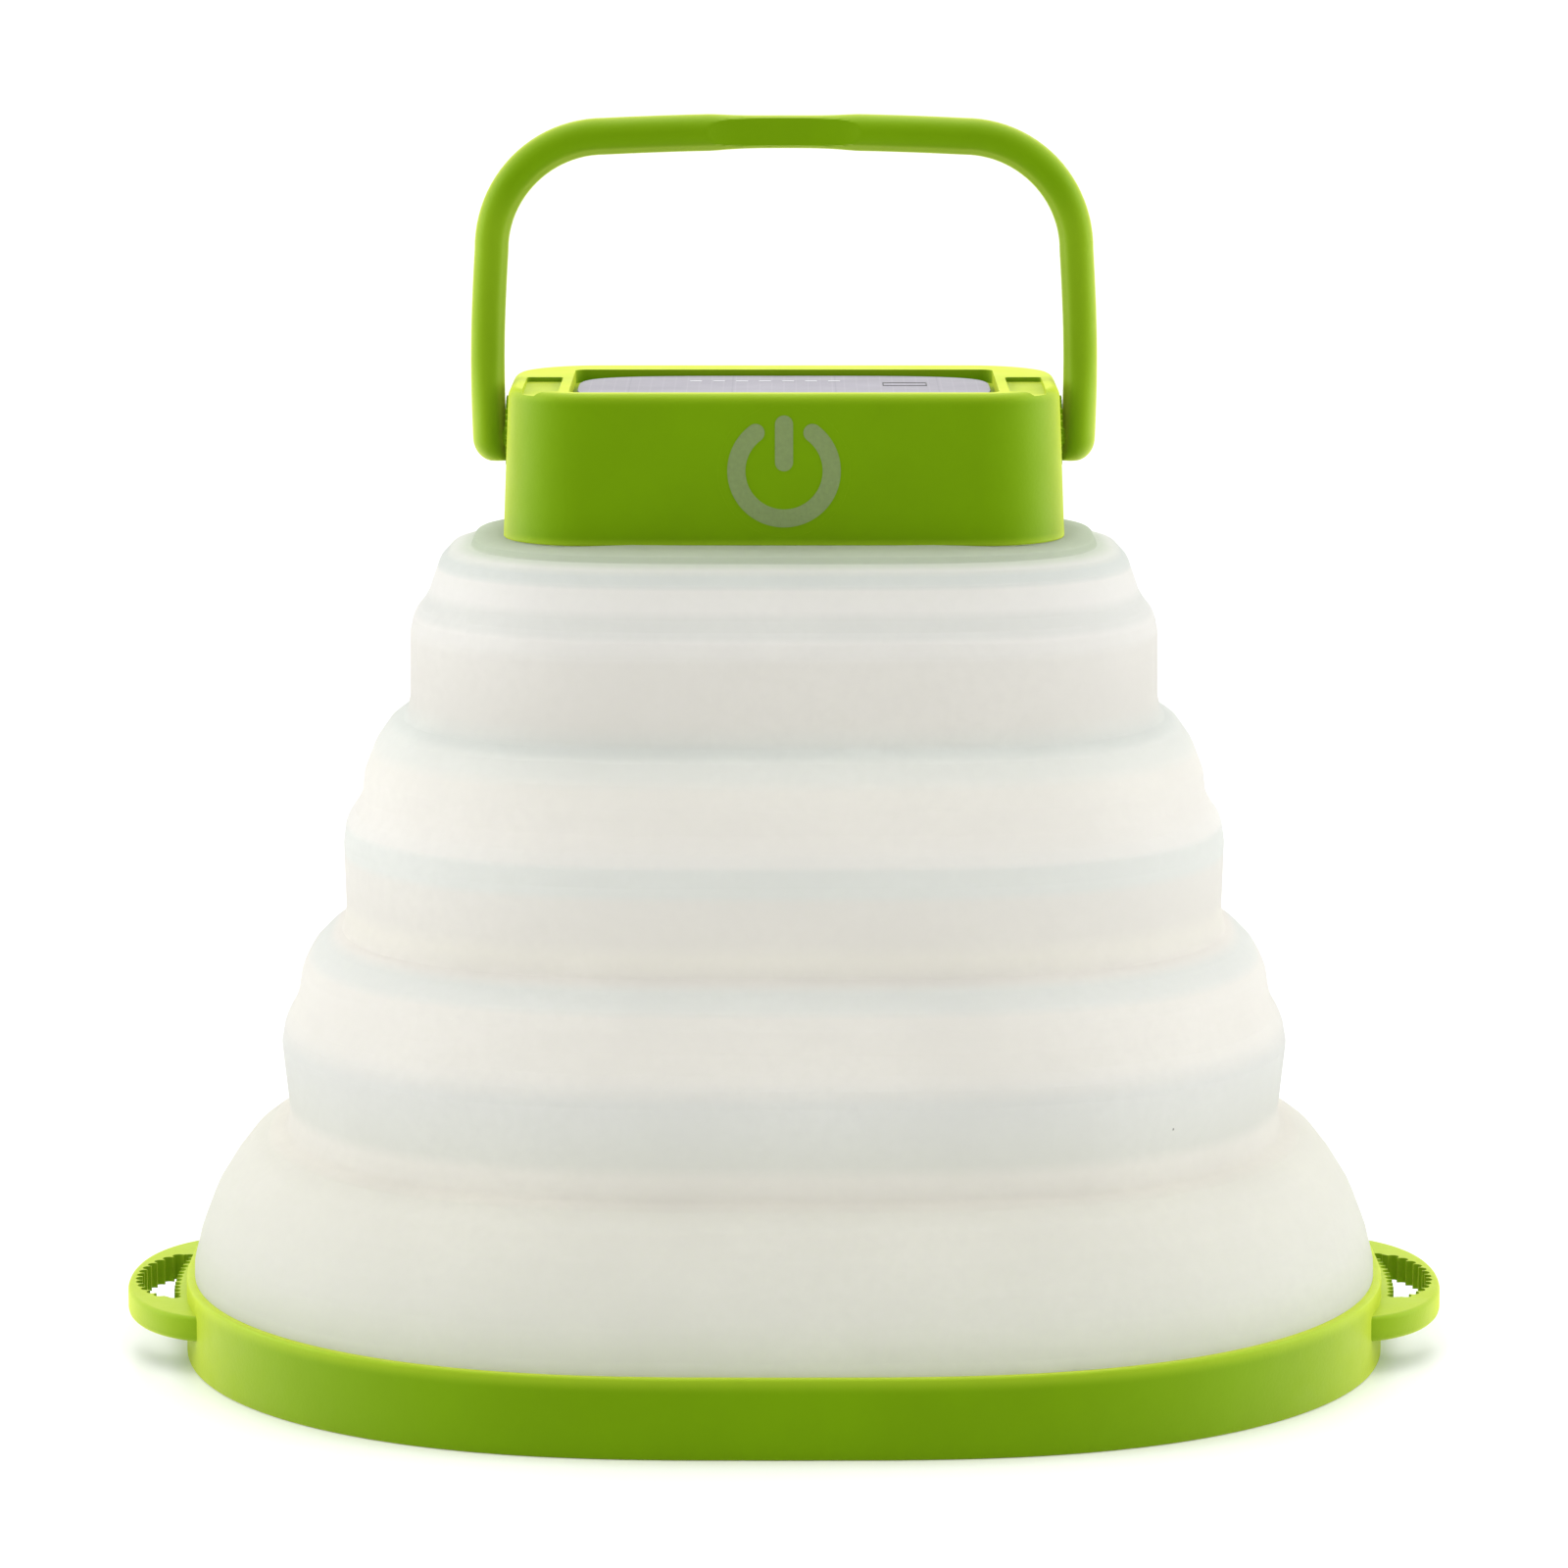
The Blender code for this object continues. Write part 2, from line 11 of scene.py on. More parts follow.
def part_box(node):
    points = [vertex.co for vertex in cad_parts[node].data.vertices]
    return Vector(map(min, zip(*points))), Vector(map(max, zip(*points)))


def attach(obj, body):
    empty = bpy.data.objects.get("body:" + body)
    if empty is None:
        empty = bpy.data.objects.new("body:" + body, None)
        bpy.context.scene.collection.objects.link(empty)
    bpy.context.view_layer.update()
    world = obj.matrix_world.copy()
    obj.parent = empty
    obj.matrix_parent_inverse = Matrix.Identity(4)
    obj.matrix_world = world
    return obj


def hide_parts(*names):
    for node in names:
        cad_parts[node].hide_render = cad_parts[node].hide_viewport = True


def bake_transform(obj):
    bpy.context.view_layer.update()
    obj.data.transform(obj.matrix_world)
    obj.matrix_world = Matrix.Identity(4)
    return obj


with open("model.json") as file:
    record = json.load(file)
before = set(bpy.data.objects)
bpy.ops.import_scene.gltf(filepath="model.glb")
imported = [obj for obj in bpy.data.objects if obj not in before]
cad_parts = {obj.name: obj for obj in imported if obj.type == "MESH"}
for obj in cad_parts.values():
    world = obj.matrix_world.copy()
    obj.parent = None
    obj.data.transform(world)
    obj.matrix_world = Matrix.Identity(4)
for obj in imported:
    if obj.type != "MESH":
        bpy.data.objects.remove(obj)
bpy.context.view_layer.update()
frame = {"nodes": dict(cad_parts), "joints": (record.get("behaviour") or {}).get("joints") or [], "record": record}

MM = 0.001
SHARP_ANGLE = 35.0      # degrees between faces, above which an edge shades sharp
LINK = bpy.context.scene.collection.objects.link

# ---------------------------------------------------------------- sizes read from the frame
RING_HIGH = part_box("base_ring")[1]
CAP_LOW, CAP_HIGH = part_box("cap_shell")
HANDLE_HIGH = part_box("handle")[1]
PANEL_LOW, PANEL_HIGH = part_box("solar_panel")
KEY_LOW, KEY_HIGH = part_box("power_button")
COVER_LOW, COVER_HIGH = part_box("usb_cover")
PIVOT = next(Vector(j["pos_m"]) for j in frame["joints"] if j["name"] == "handle_swing")

# ---------------------------------------------------------------- plan outline, as in the frame
CORE_X = 0.024
CORE_Y = 0.0117
CORE_POWER = 4.0
RING_HALF = 0.0604
STEPS = 176             # points round a plan outline


def plan_point(half_width, angle):
    """Return the outline's x and y where its outward normal points along angle."""
    cos_a = math.cos(angle)
    sin_a = math.sin(angle)
    power = CORE_POWER / (CORE_POWER - 1.0)
    pull_x = abs(CORE_X * cos_a)
    pull_y = abs(CORE_Y * sin_a)
    size = (pull_x ** power + pull_y ** power) ** (1.0 / CORE_POWER)
    core_x = math.copysign(CORE_X * pull_x ** (power - 1.0) / size, cos_a)
    core_y = math.copysign(CORE_Y * pull_y ** (power - 1.0) / size, sin_a)
    reach = half_width - CORE_X
    return core_x + reach * cos_a, core_y + reach * sin_a


# ---------------------------------------------------------------- mesh helpers
def shade(mesh, material, angle=SHARP_ANGLE):
    """Give a mesh its only material and smooth shading, sharp above an angle in degrees."""
    mesh.materials.clear()
    mesh.materials.append(material)
    mesh.shade_smooth()
    mesh.set_sharp_from_angle(angle=math.radians(angle))


def from_bmesh(name, builder, material, angle=SHARP_ANGLE):
    """Turn a bmesh into a linked object, with its faces pointing out."""
    bmesh.ops.recalc_face_normals(builder, faces=builder.faces)
    mesh = bpy.data.meshes.new(name)
    builder.to_mesh(mesh)
    builder.free()
    shade(mesh, material, angle)
    item = bpy.data.objects.new(name, mesh)
    LINK(item)
    return item


def face_builder(verts, faces):
    """Turn lists of vertices and faces into a bmesh."""
    mesh = bpy.data.meshes.new("faces")
    mesh.from_pydata(verts, [], faces)
    builder = bmesh.new()
    builder.from_mesh(mesh)
    bpy.data.meshes.remove(mesh)
    return builder


def round_corners(points, steps=5):
    """Round the corners of a (half width, height, radius) line, in millimetres; return metres."""
    line = []
    last = len(points) - 1
    for i, (x, z, radius) in enumerate(points):
        here = Vector((x, z))
        if i in (0, last) or radius <= 0:
            line.append(here)
            continue
        back = Vector(points[i - 1][:2]) - here
        ahead = Vector(points[i + 1][:2]) - here
        turn = math.pi - back.angle(ahead)
        reach = min(radius * math.tan(turn / 2), 0.48 * back.length, 0.48 * ahead.length)
        start = here + back.normalized() * reach
        end = here + ahead.normalized() * reach
        for k in range(steps + 1):
            t = k / steps
            line.append(start * (1 - t) ** 2 + here * 2 * t * (1 - t) + end * t ** 2)
    return [(p.x * MM, p.y * MM) for p in line]


def loft_ring(name, profile, material, steps=STEPS):
    """Sweep a closed (half width, height) profile round the plan outline."""
    count = len(profile)
    verts = []
    for k in range(steps):
        angle = math.tau * k / steps
        for half_width, height in profile:
            x, y = plan_point(half_width, angle)
            verts.append((x, y, height))
    faces = []
    for k in range(steps):
        here = k * count
        there = (k + 1) % steps * count
        for i in range(count):
            j = (i + 1) % count
            faces.append((here + i, there + i, there + j, here + j))
    return from_bmesh(name, face_builder(verts, faces), material, 50.0)


def box_builder(low, high, radius, steps=6, axis=2):
    """Box between two corners, with the edges along one axis rounded, as a bmesh in place."""
    low = Vector(low)
    high = Vector(high)
    size = high - low
    builder = bmesh.new()
    bmesh.ops.create_cube(builder, size=1.0, matrix=Matrix.Diagonal((*size, 1.0)))
    if radius > 0:
        along = [e for e in builder.edges if abs((e.verts[0].co - e.verts[1].co)[axis]) > size[axis] / 2]
        bmesh.ops.bevel(builder, geom=along, offset=radius, segments=steps, profile=0.5, affect="EDGES")
    bmesh.ops.translate(builder, verts=builder.verts, vec=(low + high) / 2)
    return builder


def round_rim(builder, height, radius, steps, axis=2):
    """Round the outer edges that lie at one height along an axis."""
    rim = [
        e for e in builder.edges
        if all(abs(v.co[axis] - height) < 1e-7 for v in e.verts)
        and any(abs(f.normal[axis]) < 0.5 for f in e.link_faces)
    ]
    if rim:
        bmesh.ops.bevel(builder, geom=rim, offset=radius, segments=steps, profile=0.5, affect="EDGES")


def cylinder_builder(centre, radius, length, axis, segments=64):
    """Cylinder about a centre, lying along X, Y or Z, as a bmesh in place."""
    turn = {
        "X": Matrix.Rotation(math.pi / 2, 4, "Y"),
        "Y": Matrix.Rotation(math.pi / 2, 4, "X"),
        "Z": Matrix.Identity(4),
    }
    builder = bmesh.new()
    bmesh.ops.create_cone(
        builder, cap_ends=True, segments=segments, radius1=radius, radius2=radius, depth=length,
        matrix=Matrix.Translation(centre) @ turn[axis],
    )
    return builder


def cut_all(target, cutters, operation="DIFFERENCE"):
    """Apply exact Booleans with a list of bmesh cutters, then drop the cutters."""
    tools = []
    for i, builder in enumerate(cutters):
        tool = from_bmesh(f"tool_{i}", builder, target.data.materials[0])
        modifier = target.modifiers.new(tool.name, "BOOLEAN")
        modifier.operation = operation
        modifier.solver = "EXACT"
        modifier.object = tool
        tools.append(tool)
    bake_modifiers(target)
    for tool in tools:
        bpy.data.objects.remove(tool, do_unlink=True)


def bake_modifiers(item):
    """Replace an object's mesh by its evaluated mesh."""
    bpy.context.view_layer.update()
    evaluated = item.evaluated_get(bpy.context.evaluated_depsgraph_get())
    mesh = bpy.data.meshes.new_from_object(evaluated)
    item.modifiers.clear()
    material = item.data.materials[0]
    item.data = mesh
    shade(mesh, material)


def weigh_normals(item):
    """Keep flat faces flat beside their rounded edges."""
    modifier = item.modifiers.new("weighted_normals", "WEIGHTED_NORMAL")
    modifier.keep_sharp = True
    modifier.weight = 80


def join_builders(builders):
    """Join several bmeshes into the first."""
    first = builders[0]
    for other in builders[1:]:
        mesh = bpy.data.meshes.new("joined")
        other.to_mesh(mesh)
        other.free()
        first.from_mesh(mesh)
        bpy.data.meshes.remove(mesh)
    return first


# ---------------------------------------------------------------- materials
class Shader:
    """A Principled material whose nodes all read the object's own coordinates."""

    def __init__(self, name, colour, roughness, **constants):
        self.material = bpy.data.materials.new(name)
        self.material.use_nodes = True
        self.nodes = self.material.node_tree.nodes
        self.links = self.material.node_tree.links
        self.bsdf = self.nodes["Principled BSDF"]
        self.place = self.nodes.new("ShaderNodeTexCoord").outputs["Object"]
        self.set("Base Color", (*colour, 1.0))
        self.set("Roughness", roughness)
        for key, value in constants.items():
            self.set(key.replace("_", " "), value)

    def set(self, socket, value):
        """Set a constant on the shader's own socket."""
        self.bsdf.inputs[socket].default_value = value

    def noise(self, size, detail=3.0, rough=0.5):
        """Noise whose features are about this many metres across."""
        node = self.nodes.new("ShaderNodeTexNoise")
        node.inputs["Scale"].default_value = 1.0 / size
        node.inputs["Detail"].default_value = detail
        node.inputs["Roughness"].default_value = rough
        self.links.new(self.place, node.inputs["Vector"])
        return node.outputs["Fac"]

    def cells(self, size):
        """Voronoi cells of about this many metres; returns the distance and colour outputs."""
        node = self.nodes.new("ShaderNodeTexVoronoi")
        node.inputs["Scale"].default_value = 1.0 / size
        self.links.new(self.place, node.inputs["Vector"])
        return node.outputs["Distance"], node.outputs["Color"]

    def axis(self, name):
        """One coordinate of the surface point, in metres."""
        node = self.nodes.new("ShaderNodeSeparateXYZ")
        self.links.new(self.place, node.inputs[0])
        return node.outputs[name]

    def fit(self, value, low, high, to_low, to_high, smooth=False):
        """Map a value from one range to another, clamped."""
        node = self.nodes.new("ShaderNodeMapRange")
        node.interpolation_type = "SMOOTHSTEP" if smooth else "LINEAR"
        self.links.new(value, node.inputs["Value"])
        for key, number in zip(("From Min", "From Max", "To Min", "To Max"), (low, high, to_low, to_high)):
            node.inputs[key].default_value = number
        return node.outputs["Result"]

    def maths(self, operation, first, second):
        """Combine two values, either of which may be a number."""
        node = self.nodes.new("ShaderNodeMath")
        node.operation = operation
        for socket, value in zip(node.inputs, (first, second)):
            if isinstance(value, (int, float)):
                socket.default_value = value
            else:
                self.links.new(value, socket)
        return node.outputs[0]

    def mix(self, factor, first, second, blend="MIX"):
        """Mix two colours, each a socket or three numbers."""
        node = self.nodes.new("ShaderNodeMix")
        node.data_type = "RGBA"
        node.blend_type = blend
        if isinstance(factor, (int, float)):
            node.inputs[0].default_value = factor
        else:
            self.links.new(factor, node.inputs[0])
        for socket, value in zip((node.inputs[6], node.inputs[7]), (first, second)):
            if isinstance(value, tuple):
                socket.default_value = (*value, 1.0)
            else:
                self.links.new(value, socket)
        return node.outputs[2]

    def colour(self, socket):
        """Use a colour as the base colour."""
        self.links.new(socket, self.bsdf.inputs["Base Color"])

    def roughness(self, socket):
        """Use a value as the roughness."""
        self.links.new(socket, self.bsdf.inputs["Roughness"])

    def rest_height(self):
        """Height of the surface point in the undeformed piece, from 0 at its foot to 1 at its top."""
        node = self.nodes.new("ShaderNodeSeparateXYZ")
        share_of_box = self.nodes.new("ShaderNodeTexCoord").outputs["Generated"]
        self.links.new(share_of_box, node.inputs[0])
        return node.outputs["Z"]

    def ramp(self, value, stops):
        """Turn a value from 0 to 1 into a colour that fades from stop to stop."""
        node = self.nodes.new("ShaderNodeValToRGB")
        elements = node.color_ramp.elements
        elements[0].position = stops[0][0]
        elements[1].position = stops[-1][0]
        for position, _ in stops[1:-1]:
            elements.new(position)
        for element, (_, tint) in zip(elements, stops):
            element.color = (*tint, 1.0)
        self.links.new(value, node.inputs["Fac"])
        return node.outputs["Color"]

    def let_light_through(self, share, colour):
        """Mix in a translucent shader that passes this share of the light, tinted by a colour."""
        thin = self.nodes.new("ShaderNodeBsdfTranslucent")
        blend = self.nodes.new("ShaderNodeMixShader")
        blend.inputs["Fac"].default_value = share
        self.links.new(colour, thin.inputs["Color"])
        self.links.new(self.bsdf.outputs["BSDF"], blend.inputs[1])
        self.links.new(thin.outputs["BSDF"], blend.inputs[2])
        self.links.new(blend.outputs[0], self.nodes["Material Output"].inputs["Surface"])

    def clouded(self, colour, size, detail, darkest, palest):
        """Cloudy shades of a colour, darkest to palest times it, with clouds this many metres across."""
        cloud = self.fit(self.noise(size, detail), 0.3, 0.7, 0.0, 1.0)
        return self.mix(cloud, scaled(colour, darkest), scaled(colour, palest))

    def bump(self, height, distance):
        """Add a bump of this height in metres, on top of any before."""
        node = self.nodes.new("ShaderNodeBump")
        node.inputs["Strength"].default_value = 1.0
        node.inputs["Distance"].default_value = distance
        self.links.new(height, node.inputs["Height"])
        target = self.bsdf.inputs["Normal"]
        if target.is_linked:
            self.links.new(target.links[0].from_socket, node.inputs["Normal"])
        self.links.new(node.outputs["Normal"], target)


def scaled(colour, factor):
    """A colour made lighter or darker."""
    return tuple(min(1.0, channel * factor) for channel in colour)


LIME = (0.114, 0.250, 0.0001)
# Pale lime painted on as highlights where light catches the plastic.
LIME_PAINTED_HIGHLIGHT = (0.300, 0.450, 0.020)
LIME_SPECK = (0.62, 0.78, 0.30)
DUST = (0.20, 0.19, 0.17)


def lime_plastic(name, *painted_highlight_bands):
    """Satin lime plastic with painted highlights; each band is a plain height, a height where the painted
    highlight is strongest and how strong it gets.
    """
    shader = Shader(
        name, LIME, 0.42, Specular_IOR_Level=0.45, Sheen_Weight=1.00, Sheen_Roughness=0.52,
    )
    shader.set("Sheen Tint", (0.92, 1.00, 0.09, 1.0))
    shader.set("Specular Tint", (0.45, 0.80, 0.02, 1.0))
    base = shader.clouded(LIME, 0.014, 4.0, 0.94, 1.05)
    # Painted highlights: the colour turns paler towards each band's highlight height.
    for plain_at, highlight_at, strength in painted_highlight_bands:
        highlight_amount = shader.fit(shader.axis("Z"), plain_at, highlight_at, 0.0, strength, True)
        base = shader.mix(highlight_amount, base, LIME_PAINTED_HIGHLIGHT)
    distance, cell = shader.cells(0.0016)
    chosen = shader.fit(cell, 0.985, 0.99, 0.0, 1.0)
    speck = shader.maths("MULTIPLY", shader.fit(distance, 0.03, 0.07, 1.0, 0.0), chosen)
    shader.colour(shader.mix(speck, base, LIME_SPECK))
    shader.roughness(shader.fit(shader.noise(0.004, 5.0, 0.6), 0.25, 0.75, 0.34, 0.50))
    shader.bump(shader.noise(0.00035, 2.0), 0.000012)
    shader.bump(shader.noise(0.006, 2.0), 0.00006)
    return shader.material


# Painted shade on the silicone by height in millimetres: creases and lapped bands painted darker, the neck and
# foot painted greener with the cap's shadow and the green parts' light.
SILICONE_PAINTED_SHADE = [
    (7.0, (0.96, 0.99, 0.91)), (13.0, (0.99, 1.00, 0.98)), (24.6, (1.00, 1.00, 0.98)),
    (26.0, (0.92, 0.94, 0.92)), (32.0, (0.93, 0.95, 0.95)), (34.0, (1.00, 1.00, 0.985)),
    (39.8, (1.00, 1.00, 0.985)), (40.6, (0.94, 0.97, 0.97)), (41.8, (0.94, 0.97, 0.97)),
    (42.6, (1.00, 1.00, 0.985)), (44.8, (1.00, 1.00, 0.97)), (46.5, (0.96, 0.96, 0.945)),
    (50.4, (0.96, 0.96, 0.945)), (51.2, (0.94, 0.97, 0.965)), (53.4, (0.94, 0.97, 0.965)),
    (53.9, (1.00, 1.00, 0.99)), (60.6, (1.00, 1.00, 0.98)), (61.8, (0.955, 0.98, 0.97)),
    (64.2, (0.955, 0.98, 0.97)), (66.4, (0.95, 0.95, 0.935)), (72.4, (0.95, 0.95, 0.935)),
    (73.4, (0.98, 0.985, 0.98)), (74.4, (0.98, 0.985, 0.98)), (74.9, (0.915, 0.935, 0.93)),
    (76.2, (0.915, 0.935, 0.93)), (77.4, (1.00, 1.00, 1.00)), (79.2, (1.00, 1.00, 1.00)),
    (79.7, (0.88, 0.92, 0.92)), (80.4, (0.88, 0.92, 0.92)), (81.0, (0.97, 0.98, 0.955)),
    (81.5, (0.83, 0.90, 0.78)), (84.0, (0.80, 0.88, 0.74)),
]


def frosted_silicone(name, foot, top):
    """Frosted silicone with rare dust and painted shade by height; foot and top are where the piece ends, in mm.
    """
    white = (0.946, 0.933, 0.929)
    shader = Shader(name, white, 0.55, Specular_IOR_Level=0.30)
    base = shader.clouded(white, 0.020, 4.0, 0.975, 1.02)
    fine = shader.noise(0.0011, 3.0)
    base = shader.mix(shader.fit(fine, 0.35, 0.7, 0.0, 0.5), base, scaled(white, 0.97))
    first = SILICONE_PAINTED_SHADE[0][0]
    span = SILICONE_PAINTED_SHADE[-1][0] - first
    stops = [((height - first) / span, tint) for height, tint in SILICONE_PAINTED_SHADE]
    height = shader.fit(shader.rest_height(), 0.0, 1.0, (foot - first) / span, (top - first) / span)
    # Painted shade: the colour is multiplied by the height ramp of painted shade and green light.
    base = shader.mix(1.0, base, shader.ramp(height, stops), "MULTIPLY")
    distance, cell = shader.cells(0.0042)
    wobble = shader.maths("ADD", distance, shader.maths("MULTIPLY", shader.noise(0.0006, 2.0), 0.05))
    chosen = shader.fit(cell, 0.90, 0.91, 0.0, 1.0)
    dust = shader.maths("MULTIPLY", shader.fit(wobble, 0.045, 0.065, 0.75, 0.0), chosen)
    base = shader.mix(dust, base, DUST)
    shader.colour(base)
    shader.let_light_through(0.75, base)
    shader.roughness(shader.fit(shader.noise(0.005, 5.0, 0.6), 0.25, 0.75, 0.46, 0.62))
    shader.bump(shader.noise(0.0005, 3.0), 0.00002)
    shader.bump(shader.noise(0.008, 2.0), 0.00012)
    return shader.material


def solar_laminate():
    """Grey-lilac laminated cell with fine contact fingers, bus bars and thin dark gaps."""
    cell = (0.335, 0.318, 0.365)
    shader = Shader("solar_laminate", cell, 0.50, Specular_IOR_Level=0.25)
    x = shader.axis("X")
    y = shader.axis("Y")
    finger = shader.maths("PINGPONG", x, 0.0006)
    base = shader.clouded(cell, 0.006, 4.0, 0.94, 1.06)
    base = shader.mix(shader.fit(finger, 0.00004, 0.00008, 0.07, 0.0), base, (0.72, 0.71, 0.74))
    bus = shader.maths("PINGPONG", shader.maths("ADD", y, 0.0060), 0.0060)
    base = shader.mix(shader.fit(bus, 0.00035, 0.00042, 0.10, 0.0), base, (0.78, 0.77, 0.80))
    gap = shader.maths("PINGPONG", shader.maths("ADD", x, 0.0051), 0.0051)
    base = shader.mix(shader.fit(gap, 0.00006, 0.00010, 0.25, 0.0), base, (0.20, 0.19, 0.24))
    shader.colour(base)
    shader.roughness(shader.fit(shader.noise(0.003, 4.0), 0.3, 0.7, 0.44, 0.58))
    shader.bump(shader.noise(0.0009, 3.0), 0.00002)
    return shader.material


def printed_ink(name, colour):
    """Matte printed ink with small dark pinholes, denser towards the bottom."""
    shader = Shader(name, colour, 0.62)
    distance, _ = shader.cells(0.00034)
    height = shader.axis("Z")
    turn_at = KEY_LOW.z + (KEY_HIGH.z - KEY_LOW.z) * 0.2
    low_part = shader.fit(height, turn_at - 0.0008, turn_at + 0.0012, 1.0, 0.12, True)
    patch = shader.fit(shader.noise(0.0016, 2.0), 0.45, 0.6, 0.0, 1.0)
    pin = shader.maths("MULTIPLY", shader.fit(distance, 0.14, 0.22, 0.9, 0.0), low_part)
    pin = shader.maths("MULTIPLY", pin, patch)
    base = shader.clouded(colour, 0.0004, 3.0, 0.93, 1.07)
    shader.colour(shader.mix(pin, base, (0.09, 0.13, 0.04)))
    shader.roughness(shader.fit(shader.noise(0.0008, 3.0), 0.3, 0.7, 0.55, 0.7))
    shader.bump(shader.noise(0.0002, 2.0), 0.00001)
    return shader.material


def simple_surface(name, colour, roughness, grain, relief, metallic=0.0, spread=0.06):
    """Plain moulded or metal surface: cloudy colour, uneven roughness and a fine relief."""
    shader = Shader(name, colour, roughness, Metallic=metallic)
    shader.colour(shader.clouded(colour, grain * 8, 4.0, 1 - spread, 1 + spread))
    shader.roughness(shader.fit(shader.noise(grain * 3, 4.0), 0.3, 0.7, roughness * 0.85, roughness * 1.15))
    shader.bump(shader.noise(grain, 3.0), relief)
    return shader.material


def circuit_board():
    """Green solder mask with paler tracks under it and a fine weave."""
    mask = (0.015, 0.145, 0.050)
    shader = Shader("circuit_board", mask, 0.38, Coat_Weight=0.2, Coat_Roughness=0.3)
    wandering = shader.maths("ADD", shader.axis("X"), shader.noise(0.004, 0.0))
    track = shader.maths("PINGPONG", wandering, 0.0009)
    base = shader.mix(shader.fit(track, 0.0001, 0.0002, 0.6, 0.0), mask, (0.05, 0.26, 0.09))
    shader.colour(base)
    shader.bump(shader.noise(0.0003, 2.0), 0.00002)
    return shader.material


# The lime height bands are painted highlights: the cap's top and bottom edges, the ring's rim, the loops' tops and
# the handle lower down.
MATERIALS = {
    "cap": lime_plastic(
        "lime_cap", (CAP_LOW.z + 0.0009, CAP_LOW.z, 0.75), (CAP_HIGH.z - 0.0013, CAP_HIGH.z, 0.40),
    ),
    "ring": lime_plastic("lime_ring", (RING_HIGH.z - 0.0015, RING_HIGH.z, 0.75)),
    "loop": lime_plastic("lime_loop", (0.0020, 0.0045, 0.45)),
    "handle": lime_plastic("lime_handle", (HANDLE_HIGH.z - 0.006, HANDLE_HIGH.z - 0.012, 0.28)),
    "silicone": frosted_silicone("silicone", 0.0, 84.0),
    "panel": solar_laminate(),
    "ink": printed_ink("icon_ink", (0.170, 0.240, 0.075)),
    "marks": simple_surface("panel_marks", (0.66, 0.66, 0.69), 0.45, 0.0004, 0.00001),
    "rubber": simple_surface("lime_rubber", scaled(LIME, 0.92), 0.60, 0.0004, 0.00003, spread=0.04),
    "white": simple_surface("white_plastic", (0.78, 0.78, 0.75), 0.45, 0.0005, 0.00002, spread=0.03),
    "board": circuit_board(),
    "led": simple_surface("led_phosphor", (0.82, 0.70, 0.22), 0.35, 0.0002, 0.00001),
    "window": simple_surface("diffuser_window", (0.86, 0.88, 0.88), 0.35, 0.0005, 0.00002, spread=0.02),
    "foil": simple_surface("cell_foil", (0.45, 0.46, 0.50), 0.35, 0.0008, 0.00004, metallic=0.6),
    "steel": simple_surface("plated_steel", (0.56, 0.56, 0.57), 0.28, 0.0003, 0.00001, metallic=1.0),
    "dark": simple_surface("dark_plastic", (0.025, 0.025, 0.027), 0.45, 0.0004, 0.00002),
}
SLOT_MATERIALS = {
    "lime_plastic": "cap", "key_rubber": "rubber", "silicone": "silicone", "solar_laminate": "panel",
    "white_plastic": "white", "circuit_board": "board", "led_package": "led", "clear_window": "window",
    "battery_foil": "foil", "steel": "steel", "dark_plastic": "dark",
}
for entry in frame["record"]["subparts"]:
    node = frame["nodes"][entry["node"]]
    node.data.materials.clear()
    node.data.materials.append(MATERIALS[SLOT_MATERIALS[entry["material_slot"]]])


def place(piece, body, slot, *nodes):
    """Ride on a body and stand for CAD nodes, hiding them; slot is not used."""
    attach(piece, body)
    if nodes:
        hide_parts(*nodes)


